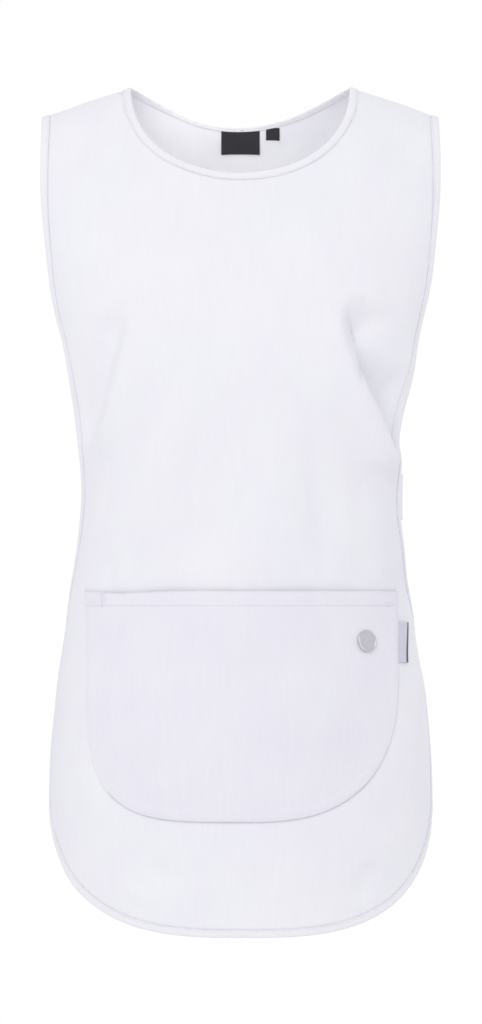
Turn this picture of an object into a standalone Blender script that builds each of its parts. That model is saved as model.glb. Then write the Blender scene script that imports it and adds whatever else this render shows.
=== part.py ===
"""Work tunic: a sleeveless pull-over tabard of white twill, with bound edges and one wide patch pocket.

The tunic keeps the hollow form it has when worn. +Z is up and the front faces -Y, so +X is on the
right of someone who looks at the front. The origin lies between the two points where the neckline
meets the shoulders, which is where a wearer's shoulders carry it. Sizes are millimetres until a mesh
is made, and MM turns them into metres.

Every place on the front and the back is given by two numbers: across, from -1 on the left bound edge
over 0 on the middle line to 1 on the right bound edge, and down, in millimetres over the cloth from
the shoulder ridge. Each cloth piece is a grid of such places, turned into a wall.
"""

import math
from collections import namedtuple

import bmesh
import bpy
from mathutils import Vector

MM = 0.001
COLLECTION = "work_tunic"

# Cloth
WALL = 1.5  # twill panel with its seam allowances
SEAM_GAP = 0.3  # pieces that are sewn together stay this far apart
SEAT_GAP = 0.8  # the same where one faceted wall lies on another that curves
BINDING_WIDTH = 7.0
BINDING_WALL = 2.5  # folded tape with the panel's edge inside it
LABEL_WALL = 1.0

# Neckline, seen from the front, from the middle line at turn 0 to the shoulder ridge at turn 90: x is
# the half width by a power of the turn's sine, and z is the drop by a power of its cosine
NECK_HALF_WIDTH = 98.5
FRONT_NECK_DROP = 76.0
BACK_NECK_DROP = 33.0
FRONT_NECK_POWERS = (0.943, 0.943)
BACK_NECK_POWERS = (1.0, 2.4)

# Shoulder: the ridge falls from the neck to the tip, and the cloth arches over it
SHOULDER_RUN = 80.0
SHOULDER_FALL = 27.0
SHOULDER_CURVE = 1.06  # 1 is a straight ridge; above it the ridge falls slowly at first
ARCH_RADIUS = 14.0
ARCH_SLOPE = 0.95
ARCH_BLEND = 4.0
RIDGE_TURN = 2 * ARCH_RADIUS * ARCH_SLOPE
LEFT_SEAM_FORWARD = 11.0  # the left shoulder seam lies this far in front of the ridge at the neck

# Level sections of each half-form. depth: from the side line to the middle of the panel. form_x:
# half the width of the form. squareness: 2 is an ellipse. edge_x: how far out the bound edge stands.
# wrap: degrees that the edge goes on past the side line.
Level = namedtuple("Level", "z depth form_x squareness edge_x wrap")
FRONT_LEVELS = [
    Level(10, 46, 207.0, 2.2, 177.0, 0),
    Level(-27, 54, 207.0, 2.2, 178.6, 0),
    Level(-60, 68, 205.0, 2.2, 180.0, 0),
    Level(-100, 88, 199.0, 2.3, 179.3, 0),
    Level(-150, 112, 189.0, 2.4, 174.7, 0),
    Level(-200, 124, 178.0, 2.5, 167.0, 0),
    Level(-250, 127, 167.0, 2.5, 156.5, 0),
    Level(-300, 123, 157.0, 2.4, 147.5, 0),
    Level(-350, 118, 150.0, 2.3, 143.8, 0),
    Level(-390, 116, 148.5, 2.2, 144.0, 0),
    Level(-436, 116, 150.0, 2.1, 149.6, 0),
    Level(-480, 117, 156.4, 2.0, 156.4, 4),
    Level(-530, 119, 163.8, 2.0, 163.8, 6),
    Level(-580, 121, 169.0, 2.0, 169.0, 3),
    Level(-625, 122, 171.7, 2.0, 171.5, 0),
    Level(-650, 122, 172.3, 2.0, 171.8, 0),
    Level(-775, 124, 173.0, 2.0, 172.5, 0),
]
BACK_LEVELS = [
    Level(10, 46, 207.0, 2.2, 177.0, 0),
    Level(-27, 54, 207.0, 2.2, 178.6, 0),
    Level(-60, 72, 204.0, 2.3, 179.3, 0),
    Level(-100, 88, 198.0, 2.4, 178.3, 0),
    Level(-150, 99, 188.0, 2.4, 173.0, 0),
    Level(-200, 101, 177.0, 2.4, 164.5, 0),
    Level(-250, 98, 166.0, 2.3, 152.5, 0),
    Level(-300, 94, 156.0, 2.3, 143.0, 0),
    Level(-350, 91, 150.0, 2.2, 138.5, 0),
    Level(-390, 92, 150.0, 2.2, 138.5, 0),
    Level(-436, 97, 153.0, 2.2, 143.0, 0),
    Level(-480, 103, 158.0, 2.2, 149.0, 0),
    Level(-530, 109, 163.0, 2.2, 153.5, 0),
    Level(-580, 114, 167.0, 2.2, 157.0, 0),
    Level(-625, 116, 169.0, 2.2, 159.0, 0),
    Level(-650, 117, 169.5, 2.2, 159.5, 0),
    Level(-775, 118, 170.0, 2.2, 160.0, 0),
]

# Largest folds, in front view: a positive height is a ridge and a negative one is a trough. fade_in
# and fade_out are the shares of the length over which the fold grows and dies away.
Fold = namedtuple("Fold", "start_x start_z end_x end_z width height fade_in fade_out")
FRONT_FOLDS = [
    Fold(97, -190, 144, -352, 10.0, -6.0, 0.20, 0.25),  # right bust crease
    Fold(80, -186, 128, -352, 13.0, 4.0, 0.25, 0.30),
    Fold(110, -362, 136, -452, 13.0, 2.6, 0.35, 0.35),  # it runs on to the pocket
    Fold(139, -330, 146, -398, 15.0, -4.6, 0.45, 0.45),  # the right tab draws the edge in
    Fold(-103, -186, -131, -352, 12.0, -4.2, 0.25, 0.30),  # left bust crease
    Fold(-86, -190, -114, -356, 13.0, 2.8, 0.30, 0.35),
    Fold(-58, -215, -66, -440, 14.0, -2.2, 0.40, 0.40),  # soft drapes between them
    Fold(-24, -225, -20, -446, 11.0, 1.8, 0.40, 0.40),
    Fold(16, -235, 22, -448, 12.0, -1.8, 0.40, 0.40),
    Fold(58, -245, 70, -440, 15.0, 1.8, 0.40, 0.40),
    Fold(166, -44, 124, -70, 12.0, -3.0, 0.35, 0.50),  # under the shoulders
    Fold(-162, -50, -118, -72, 13.0, -2.0, 0.35, 0.50),
    Fold(-92, -702, -44, -714, 14.0, -3.0, 0.40, 0.40),  # dents above the hem
    Fold(102, -738, 124, -690, 13.0, -2.6, 0.40, 0.40),
]
BACK_FOLDS = [
    Fold(94, -176, 136, -348, 12.0, -4.6, 0.25, 0.30),
    Fold(78, -172, 120, -352, 14.0, 3.2, 0.30, 0.35),
    Fold(-90, -168, -132, -344, 13.0, -4.0, 0.30, 0.30),
    Fold(-74, -176, -112, -360, 14.0, 3.0, 0.30, 0.35),
    Fold(-30, -150, -36, -470, 17.0, -2.8, 0.35, 0.45),
    Fold(24, -190, 30, -520, 16.0, 2.6, 0.40, 0.45),
    Fold(-84, -470, -96, -745, 19.0, 3.4, 0.50, 0.20),
    Fold(-30, -520, -34, -752, 18.0, -2.8, 0.50, 0.20),
    Fold(46, -500, 58, -750, 20.0, -3.2, 0.50, 0.20),
    Fold(100, -480, 110, -735, 17.0, 3.0, 0.50, 0.20),
]

# Hem: below HEM_JOIN the outline is a quarter superellipse, seen from the front
HEM_JOIN = -650.0
HEM_CORNER_TOP = -625.0
HEM_ROUNDNESS = {1: 3.0, -1: 2.8}  # the right corner is a little squarer than the left one
HEM_CORNER_TURN = 0.52  # share of the quarter at which the grid turns from side to hem

# Patch pocket, seen from the front
POCKET_TOP = -452.5
POCKET_CORNER_TOP = -516.0
POCKET_BOTTOM = -661.0
POCKET_LEFT = -138.5
POCKET_RIGHT = 141.5
POCKET_MIDDLE = 1.5
POCKET_ROUNDNESS = {1: 2.75, -1: 3.9}
POCKET_GAPE = 9.0  # how far the mouth stands off the panel
POCKET_SWELL = 0.8  # power of the gape's bow from side to side; less is fuller
POCKET_CLOSING = 1.15  # power by which it closes from the mouth to the bottom
POCKET_HEM = 13.0
POCKET_HEM_WALL = 2.3
POCKET_HEM_STEP = 1.0  # height over which the folded hem thins to a single layer
POCKET_ROWS = 10
POCKET_HALF_COLUMNS = 9

# Side tabs at the waist
TAB_TOP = -348.0
TAB_BOTTOM = -389.0
TAB_UNDERLAP = 0.13  # share of the half panel that the tab's sewn end covers
TAB_LEAVES = 0.985  # where it comes out, just inside the bound edge
TAB_BOW_RIGHT = 0.8  # how far the free span swings out, as a share of its full round
TAB_BOW_LEFT = 0.3
TAB_ROWS = 3
TAB_SPAN_POINTS = 6

# Badge, labels: places seen from the front
BADGE_X = 112.0
BADGE_Z = -498.0
BADGE_RADIUS = 10.0
BADGE_HEIGHT = 2.4
BADGE_RIM = 1.2
BADGE_CHAMFER = 0.45
BADGE_DISH = 0.6
BADGE_CROWN = 0.2  # the dished face rises again by this much at its middle
BADGE_SIDES = 32
LABEL_ROWS = 3
LABEL_COLUMNS = 4
NECK_LABEL = (-17.3, 17.3, -38.9, -59.4)  # left, right, top, bottom
SIZE_LABEL = (23.0, 35.2, -38.4, -46.6)
SIDE_LABEL = (142.9, 153.4, -480.6, -516.6)

# How the form and the outlines are worked out
STEP_ACROSS = 0.004  # small steps over which the cloth's slopes are measured
STEP_DOWN = 0.8
HEIGHT_ROUNDS = 4
OUTLINE_STEPS = 60
SIDE_STEPS = 160
SEAM_CLEARANCE = 2.0  # the last place of a neckline before its seam lies at least this far from it

# Grid of the panels
ROWS = 36
ROW_CROWDING = 1.3  # rows lie closer together near the shoulder ridge
NECK_COLUMNS = 10
NECK_CROWDING = 1.5  # and so do the columns that start on the neckline
SHOULDER_COLUMNS = 5
HALF_COLUMNS = NECK_COLUMNS + SHOULDER_COLUMNS

Panel = namedtuple("Panel", "levels folds outward neck_drop neck_powers hem_x hem_z")
FRONT = Panel(FRONT_LEVELS, FRONT_FOLDS, -1, FRONT_NECK_DROP, FRONT_NECK_POWERS, 172.0, -765.0)
BACK = Panel(BACK_LEVELS, BACK_FOLDS, 1, BACK_NECK_DROP, BACK_NECK_POWERS, 160.0, -761.0)


# ---------------------------------------------------------------- the form of the worn cloth


def edge_angle(level):
    """Angle round the form, from the middle line, at which the bound edge lies."""
    return math.asin(min(1.0, level.edge_x / level.form_x)) + math.radians(level.wrap)


def level_value(levels, read, z):
    """What read gives for each level, carried smoothly to the height z."""
    z = max(levels[-1].z, min(levels[0].z, z))
    i = next(k for k in range(len(levels) - 1) if z >= levels[k + 1].z)
    before, low, high, after = (
        levels[max(i - 1, 0)],
        levels[i],
        levels[i + 1],
        levels[min(i + 2, len(levels) - 1)],
    )
    span = high.z - low.z
    t = (z - low.z) / span
    rise_low = (read(high) - read(before)) / (high.z - before.z) * span
    rise_high = (read(after) - read(low)) / (after.z - low.z) * span
    return (
        read(low) * (2 * t**3 - 3 * t**2 + 1)
        + rise_low * (t**3 - 2 * t**2 + t)
        + read(high) * (3 * t**2 - 2 * t**3)
        + rise_high * (t**3 - t**2)
    )


def ridge_height(x):
    """Height of the shoulder ridge."""
    out = max(0.0, (abs(x) - NECK_HALF_WIDTH) / SHOULDER_RUN)
    return -SHOULDER_FALL * out**SHOULDER_CURVE


def form_point(panel, across, down):
    """Point of the panel's smooth form, before its folds."""
    drop = down * down / (abs(down) + RIDGE_TURN)
    z = -drop
    for _ in range(HEIGHT_ROUNDS):  # the ridge's height depends on x, and x on the height
        angle = across * level_value(panel.levels, edge_angle, z)
        x = level_value(panel.levels, lambda level: level.form_x, z) * math.sin(angle)
        z = ridge_height(x) - drop
    square = level_value(panel.levels, lambda level: level.squareness, z)
    depth = level_value(panel.levels, lambda level: level.depth, z)
    reach = math.copysign((1 - abs(math.sin(angle)) ** square) ** (1 / square), math.cos(angle))
    out = depth * reach
    arch = math.sqrt((ARCH_SLOPE * drop + ARCH_RADIUS) ** 2 - ARCH_RADIUS**2)
    if out > 0:
        out = arch / (1 + (arch / out) ** ARCH_BLEND) ** (1 / ARCH_BLEND)
    return Vector((x, panel.outward * math.copysign(out, out * down), z))


def smooth_step(t):
    t = max(0.0, min(1.0, t))
    return t * t * (3 - 2 * t)


def fold_height(folds, x, z):
    """How far the folds lift the cloth off its smooth form."""
    total = 0.0
    for fold in folds:
        along_x = fold.end_x - fold.start_x
        along_z = fold.end_z - fold.start_z
        length = math.hypot(along_x, along_z)
        t = ((x - fold.start_x) * along_x + (z - fold.start_z) * along_z) / length**2
        off = ((x - fold.start_x) * along_z - (z - fold.start_z) * along_x) / length
        window = smooth_step(t / fold.fade_in) * smooth_step((1 - t) / fold.fade_out)
        total += fold.height * window * math.exp(-((off / fold.width) ** 2))
    return total


def slopes(panel, across, down):
    """How the form's point moves for each unit of across, and for each unit of down."""
    right = form_point(panel, across + STEP_ACROSS, down)
    left = form_point(panel, across - STEP_ACROSS, down)
    below = form_point(panel, across, down + STEP_DOWN)
    above = form_point(panel, across, down - STEP_DOWN)
    return (right - left) / (2 * STEP_ACROSS), (below - above) / (2 * STEP_DOWN)


def site(panel, place, lift=0.0):
    """(point on the cloth, its outward normal) at a place, moved out by lift."""
    per_across, per_down = slopes(panel, *place)
    normal = per_across.cross(per_down).normalized() * panel.outward
    point = form_point(panel, *place)
    return point + normal * (fold_height(panel.folds, point.x, point.z) + lift), normal


def down_at(x, z):
    """How far below the ridge, over the cloth, the height z lies at x."""
    drop = max(0.0, ridge_height(x) - z)
    return (drop + math.sqrt(drop * drop + 4 * RIDGE_TURN * drop)) / 2


def place_seen(panel, x, z):
    """The place that the front view shows at (x, z)."""
    form_x = level_value(panel.levels, lambda level: level.form_x, z)
    angle = math.asin(max(-1.0, min(1.0, x / form_x)))
    return (angle / level_value(panel.levels, edge_angle, z), down_at(x, z))


def place_level(panel, across, z):
    """The place at the height z on the line that runs down the panel at across."""
    angle = across * level_value(panel.levels, edge_angle, z)
    x = level_value(panel.levels, lambda level: level.form_x, z) * math.sin(angle)
    return (across, down_at(x, z))


# ---------------------------------------------------------------- outlines as lists of places


def resample(panel, places, count, crowding=1.0):
    """count + 1 places spread by length over the cloth; crowding above 1 draws them to the start."""
    points = [form_point(panel, *place) for place in places]
    lengths = [0.0]
    for a, b in zip(points, points[1:]):
        lengths.append(lengths[-1] + (b - a).length)
    result = []
    i = 0
    for k in range(count + 1):
        wanted = lengths[-1] * (k / count) ** crowding
        while i < len(lengths) - 2 and lengths[i + 1] < wanted:
            i += 1
        t = (wanted - lengths[i]) / (lengths[i + 1] - lengths[i])
        (a0, d0), (a1, d1) = places[i], places[i + 1]
        result.append((a0 + (a1 - a0) * t, d0 + (d1 - d0) * t))
    return result


def move_in(panel, outline, distance, seam_ends=(False, False)):
    """The outline moved over the cloth by distance, to the right of its own direction in front view.
    At a seam end it moves along the seam only."""
    moved = []
    for i, (across, down) in enumerate(outline):
        before = form_point(panel, *outline[max(i - 1, 0)])
        after = form_point(panel, *outline[min(i + 1, len(outline) - 1)])
        per_across, per_down = slopes(panel, across, down)
        normal = per_across.cross(per_down).normalized()
        inward = normal.cross(after - before).normalized() * distance
        if (i == 0 and seam_ends[0]) or (i == len(outline) - 1 and seam_ends[1]):
            sign = math.copysign(1.0, inward.dot(per_across))
            moved.append((across + sign * abs(distance) / per_across.length, down))
            continue
        aa, ad, dd = per_across.dot(per_across), per_across.dot(per_down), per_down.dot(per_down)
        wa, wd = inward.dot(per_across), inward.dot(per_down)
        scale = aa * dd - ad * ad
        moved.append((across + (wa * dd - wd * ad) / scale, down + (wd * aa - wa * ad) / scale))
    return moved


def seam_down(panel, x):
    """How far below the ridge, over the cloth, the panel's shoulder edge lies."""
    forward = 0.0
    if x < 0:
        share = (abs(x) - NECK_HALF_WIDTH) / SHOULDER_RUN
        forward = LEFT_SEAM_FORWARD * (1 - smooth_step(share / 0.8))
    return -panel.outward * forward + SEAM_GAP / 2


def neck_outline(panel, hand):
    """From the middle line up the neckline to the shoulder seam. hand is 1 right, -1 left."""
    places = []
    power_x, power_z = panel.neck_powers
    for k in range(OUTLINE_STEPS + 1):
        turn = math.radians(90) * k / OUTLINE_STEPS
        x = hand * NECK_HALF_WIDTH * math.sin(turn) ** power_x
        z = -panel.neck_drop * math.cos(turn) ** power_z
        places.append(place_seen(panel, x, z))
    seam = (places[-1][0], seam_down(panel, hand * NECK_HALF_WIDTH))
    clear = [place for place in places if place[1] > seam[1] + SEAM_CLEARANCE]
    return resample(panel, [seam] + clear[::-1], NECK_COLUMNS, NECK_CROWDING)[::-1]


def side_outline(panel, hand):
    """From the shoulder seam down the bound edge to the hem's corner."""
    corner = hem_outline(panel, hand, 1.0, HEM_CORNER_TURN)
    start = seam_down(panel, hand * (NECK_HALF_WIDTH + SHOULDER_RUN))
    fall = corner[0][1] - start
    straight = [(hand, start + fall * k / SIDE_STEPS) for k in range(SIDE_STEPS)]
    return straight + corner


def hem_outline(panel, hand, begin, end):
    """Places along the hem's quarter superellipse, from its share begin to its share end; 0 is the
    middle line and 1 is the point at HEM_JOIN."""
    roundness = HEM_ROUNDNESS[hand]
    fall = panel.hem_z - HEM_CORNER_TOP
    join_turn = math.acos(((HEM_JOIN - HEM_CORNER_TOP) / fall) ** (roundness / 2))
    places = []
    for k in range(OUTLINE_STEPS + 1):
        turn = join_turn * (begin + (end - begin) * k / OUTLINE_STEPS)
        x = hand * panel.hem_x * math.sin(turn) ** (2 / roundness)
        z = HEM_CORNER_TOP + fall * math.cos(turn) ** (2 / roundness)
        places.append(place_seen(panel, x, z))
    return places


def coons(middle, edge, top, bottom):
    """Grid of places, rows from top to bottom, inside four outlines that meet at their ends."""
    rows, columns = len(middle) - 1, len(top) - 1
    grid = []
    for r in range(rows + 1):
        q = r / rows
        line = []
        for c in range(columns + 1):
            p = c / columns
            line.append(
                tuple(
                    (1 - p) * middle[r][i]
                    + p * edge[r][i]
                    + (1 - q) * top[c][i]
                    + q * bottom[c][i]
                    - (1 - p) * (1 - q) * top[0][i]
                    - p * (1 - q) * top[-1][i]
                    - (1 - p) * q * bottom[0][i]
                    - p * q * bottom[-1][i]
                    for i in (0, 1)
                )
            )
        grid.append(line)
    return grid


def panel_edges(panel, hand):
    """The outer outline of one half: (side from the shoulder seam to the corner, hem from the middle
    line to the corner), spaced as the panel's grid and its binding are."""
    side = resample(panel, side_outline(panel, hand), ROWS, ROW_CROWDING)
    hem = resample(panel, hem_outline(panel, hand, 0.0, HEM_CORNER_TURN), HALF_COLUMNS)
    hem[-1] = side[-1]
    return side, hem


def binding_run(panel, inset):
    """The whole bound edge of a panel, moved in by inset: right shoulder, hem, left shoulder."""
    right_side, right_hem = panel_edges(panel, 1)
    left_side, left_hem = panel_edges(panel, -1)
    run = right_side + right_hem[-2::-1] + left_hem[1:] + left_side[-2::-1]
    return move_in(panel, run, inset, (True, True))


def half_panel(panel, hand):
    """Grid of places of one half, inside the bindings."""
    inset = BINDING_WIDTH + SEAM_GAP
    run = binding_run(panel, inset)
    half = run[: ROWS + HALF_COLUMNS + 1] if hand > 0 else run[ROWS + HALF_COLUMNS :][::-1]
    edge, bottom = half[: ROWS + 1], half[ROWS:][::-1]
    neck = move_in(panel, neck_outline(panel, hand), inset * hand, (False, True))
    neck[0] = (0.0, neck[0][1])
    shoulder = []
    for k in range(1, SHOULDER_COLUMNS + 1):
        across = neck[-1][0] + (edge[0][0] - neck[-1][0]) * k / SHOULDER_COLUMNS
        x = form_point(panel, across, 0.0).x
        shoulder.append((across, seam_down(panel, x)))
    edge[0] = shoulder[-1]
    top = neck + shoulder
    start, end = top[0][1], bottom[0][1]
    middle = [(0.0, start + (end - start) * (r / ROWS) ** ROW_CROWDING) for r in range(ROWS + 1)]
    return coons(middle, edge, top, bottom)


# ---------------------------------------------------------------- solids


def material(name, colour, roughness, metallic=0.0):
    made = bpy.data.materials.new(name)
    made.use_nodes = True
    shader = made.node_tree.nodes["Principled BSDF"]
    shader.inputs["Base Color"].default_value = (*colour, 1.0)
    shader.inputs["Roughness"].default_value = roughness
    shader.inputs["Metallic"].default_value = metallic
    return made


def add_object(name, mesh, finish):
    mesh.materials.append(finish)
    made = bpy.data.objects.new(name, mesh)
    bpy.data.collections[COLLECTION].objects.link(made)
    return made


def wall(name, sites, walls, finish, closed=False):
    """A closed solid from a grid of (point, normal): walls gives the wall's thickness in each column
    of the grid's rows, and closed joins the last row to the first."""
    bm = bmesh.new()
    layers = []
    for sign in (0.5, -0.5):
        layer = []
        for row in sites:
            line = []
            for (point, normal), thick in zip(row, walls):
                line.append(bm.verts.new((point + normal * sign * thick) * MM))
            layer.append(line)
        layers.append(layer)
    outer, inner = layers
    rows, columns = len(sites), len(sites[0])
    for r in range(rows if closed else rows - 1):
        after = (r + 1) % rows
        for c in range(columns - 1):
            bm.faces.new((outer[r][c], outer[r][c + 1], outer[after][c + 1], outer[after][c]))
            bm.faces.new((inner[after][c], inner[after][c + 1], inner[r][c + 1], inner[r][c]))
        bm.faces.new((outer[r][0], outer[after][0], inner[after][0], inner[r][0]))
        bm.faces.new((outer[after][-1], outer[r][-1], inner[r][-1], inner[after][-1]))
    if not closed:
        for c in range(columns - 1):
            bm.faces.new((outer[0][c + 1], outer[0][c], inner[0][c], inner[0][c + 1]))
            bm.faces.new((outer[-1][c], outer[-1][c + 1], inner[-1][c + 1], inner[-1][c]))
    bmesh.ops.recalc_face_normals(bm, faces=bm.faces)
    mesh = bpy.data.meshes.new(name)
    bm.to_mesh(mesh)
    bm.free()
    mesh.shade_smooth()
    mesh.set_sharp_from_angle(angle=math.radians(40))
    return add_object(name, mesh, finish)


def make_panel(name, panel, finish):
    right = half_panel(panel, 1)
    left = half_panel(panel, -1)
    grid = [lefts[:0:-1] + rights for lefts, rights in zip(left, right)]
    sites = [[site(panel, place) for place in row] for row in grid]
    return wall(name, sites, [WALL] * len(grid[0]), finish)


# Across a binding, from its sewn edge to its fold: (distance in from the edge, wall)
BINDING_PROFILE = [(BINDING_WIDTH, BINDING_WALL), (1.3, BINDING_WALL), (0.0, 1.2)]


def make_edge_binding(name, panel, finish):
    runs = [binding_run(panel, inset) for inset, _ in BINDING_PROFILE]
    sites = [[site(panel, place) for place in across] for across in zip(*runs)]
    return wall(name, sites, [thick for _, thick in BINDING_PROFILE], finish)


def neck_run(panel, inset):
    """The neckline of one panel from the right shoulder seam to the left, moved in by inset."""
    halves = []
    for hand in (1, -1):
        halves.append(move_in(panel, neck_outline(panel, hand), inset * hand, (False, True)))
    right, left = halves
    right[0] = (0.0, right[0][1])
    return right[::-1] + left[1:]


def make_neck_binding(finish):
    sites = []
    for panel, backwards in ((FRONT, False), (BACK, True)):
        runs = [neck_run(panel, inset) for inset, _ in BINDING_PROFILE]
        rows = [[site(panel, place) for place in across] for across in zip(*runs)]
        rows = rows[::-1] if backwards else rows
        sites += rows[1:]  # each seam end is the other panel's last row
    return wall("neck_binding", sites, [thick for _, thick in BINDING_PROFILE], finish, True)


# ---------------------------------------------------------------- pocket


def pocket_half(hand):
    """Grid of places of one half of the pocket."""
    reach = (POCKET_RIGHT if hand > 0 else -POCKET_LEFT) - hand * POCKET_MIDDLE
    roundness = POCKET_ROUNDNESS[hand]

    def corner(begin, end):
        places = []
        for k in range(OUTLINE_STEPS + 1):
            turn = math.radians(90) * (begin + (end - begin) * k / OUTLINE_STEPS)
            x = POCKET_MIDDLE + hand * reach * math.sin(turn) ** (2 / roundness)
            fall = POCKET_BOTTOM - POCKET_CORNER_TOP
            z = POCKET_CORNER_TOP + fall * math.cos(turn) ** (2 / roundness)
            places.append(place_seen(FRONT, x, z))
        return places

    edge_x = POCKET_MIDDLE + hand * reach
    hem_z = POCKET_TOP - POCKET_HEM
    below_hem = hem_z - POCKET_HEM_STEP
    straight = [place_seen(FRONT, edge_x, below_hem), place_seen(FRONT, edge_x, POCKET_CORNER_TOP)]
    side = resample(FRONT, straight + corner(1.0, 0.5)[1:], POCKET_ROWS)
    edge = [place_seen(FRONT, edge_x, z) for z in (POCKET_TOP, hem_z)] + side
    bottom = resample(FRONT, corner(0.0, 0.5), POCKET_HALF_COLUMNS)
    bottom[-1] = edge[-1]
    middle = [place_seen(FRONT, POCKET_MIDDLE, z) for z in (POCKET_TOP, hem_z)]
    (first_across, first_down) = place_seen(FRONT, POCKET_MIDDLE, below_hem)
    (last_across, last_down) = bottom[0]
    for k in range(POCKET_ROWS + 1):
        t = k / POCKET_ROWS
        across = first_across + (last_across - first_across) * t
        middle.append((across, first_down + (last_down - first_down) * t))
    top = []
    for k in range(POCKET_HALF_COLUMNS + 1):
        x = POCKET_MIDDLE + (edge_x - POCKET_MIDDLE) * k / POCKET_HALF_COLUMNS
        top.append(place_seen(FRONT, x, POCKET_TOP))
    return coons(middle, edge, top, bottom)


def pocket_stand_off(x, z):
    """How far the pocket stands off the panel: nothing at its sewn edges, most at its mouth."""
    across = (x - POCKET_LEFT) / (POCKET_RIGHT - POCKET_LEFT)
    down = (POCKET_TOP - z) / (POCKET_TOP - POCKET_BOTTOM)
    swell = max(0.0, math.sin(math.pi * max(0.0, min(1.0, across)))) ** POCKET_SWELL
    return POCKET_GAPE * swell * max(0.0, 1 - down) ** POCKET_CLOSING


def make_pocket(finish):
    right, left = pocket_half(1), pocket_half(-1)
    grid = [lefts[:0:-1] + rights for lefts, rights in zip(left, right)]
    seated = WALL / 2 + SEAT_GAP
    columns = []
    for r, row in enumerate(grid):
        thick = POCKET_HEM_WALL if r < 2 else WALL
        line = []
        for place in row:
            base = form_point(FRONT, *place)
            lift = seated + pocket_stand_off(base.x, base.z) + thick / 2
            line.append(site(FRONT, place, lift))
        columns.append(line)
    turned = [list(line) for line in zip(*columns)]
    walls = [POCKET_HEM_WALL] * 2 + [WALL] * (len(grid) - 2)
    return wall("pocket", turned, walls, finish)


# ---------------------------------------------------------------- side tabs


def bridge(start, start_way, end, end_way, bow, count):
    """Points of a smooth free span between two places, count of them, ends left out."""
    span = (end - start).length * bow
    points = []
    for k in range(1, count + 1):
        t = k / (count + 1)
        points.append(
            start * (2 * t**3 - 3 * t**2 + 1)
            + start_way * span * (t**3 - 2 * t**2 + t)
            + end * (3 * t**2 - 2 * t**3)
            + end_way * span * (t**3 - t**2)
        )
    return points


def make_tab(name, hand, bow, finish):
    """A strap whose ends lie inside the front's and the back's bound edges."""
    seat = -(BINDING_WALL / 2 + SEAT_GAP + WALL / 2)
    rows = []
    for k in range(TAB_ROWS + 1):
        z = TAB_TOP + (TAB_BOTTOM - TAB_TOP) * k / TAB_ROWS
        ends = []
        for panel in (FRONT, BACK):
            run = []
            for share in (1 - TAB_UNDERLAP, 1 - TAB_UNDERLAP / 2, TAB_LEAVES):
                run.append(site(panel, place_level(panel, hand * share, z), seat))
            ends.append(run)
        front, back = ends
        leave = (front[2][0] - front[1][0]).normalized()
        arrive = (back[1][0] - back[2][0]).normalized()
        free = bridge(front[2][0], leave, back[2][0], arrive, bow, TAB_SPAN_POINTS)
        line = [point for point, _ in front] + free + [point for point, _ in back[::-1]]
        row = []
        for i, point in enumerate(line):
            way = line[min(i + 1, len(line) - 1)] - line[max(i - 1, 0)]
            row.append((point, way.cross(Vector((0, 0, 1))).normalized() * hand))
        rows.append(row)
    return wall(name, rows, [WALL] * len(rows[0]), finish)


# ---------------------------------------------------------------- labels and badge


def make_label(name, panel, seen, lift, finish):
    """A flat label lying on the panel: lift is its middle's distance out from the panel's middle."""
    left, right, top, bottom = seen
    rows = []
    for r in range(LABEL_ROWS + 1):
        z = top + (bottom - top) * r / LABEL_ROWS
        row = []
        for c in range(LABEL_COLUMNS + 1):
            x = left + (right - left) * c / LABEL_COLUMNS
            row.append(site(panel, place_seen(panel, x, z), lift))
        rows.append(row)
    return wall(name, rows, [LABEL_WALL] * (LABEL_COLUMNS + 1), finish)


def make_badge(finish):
    """A turned disc with a raised rim, seated on the pocket."""
    outline = [
        (0.0, 0.0),
        (BADGE_RADIUS, 0.0),
        (BADGE_RADIUS, BADGE_HEIGHT - BADGE_CHAMFER),
        (BADGE_RADIUS - BADGE_CHAMFER, BADGE_HEIGHT),
        (BADGE_RADIUS - BADGE_RIM, BADGE_HEIGHT),
        (BADGE_RADIUS - BADGE_RIM - BADGE_CHAMFER, BADGE_HEIGHT - BADGE_DISH),
        (0.0, BADGE_HEIGHT - BADGE_DISH + BADGE_CROWN),
    ]
    mesh = bpy.data.meshes.new("badge")
    points = [(radius * MM, 0.0, height * MM) for radius, height in outline]
    mesh.from_pydata(points, [(i, i + 1) for i in range(len(points) - 1)], [])
    badge = add_object("badge", mesh, finish)
    turn = badge.modifiers.new("turn", "SCREW")
    turn.steps = BADGE_SIDES
    turn.render_steps = BADGE_SIDES
    turn.use_merge_vertices = True
    turn.merge_threshold = 0.00001
    turn.use_normal_calculate = True
    place = place_seen(FRONT, BADGE_X, BADGE_Z)
    seat = WALL / 2 + SEAT_GAP + WALL + SEAT_GAP + pocket_stand_off(BADGE_X, BADGE_Z)
    point, normal = site(FRONT, place, seat)
    badge.location = point * MM
    badge.rotation_mode = "QUATERNION"
    badge.rotation_quaternion = normal.to_track_quat("Z", "Y")
    return badge


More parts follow.
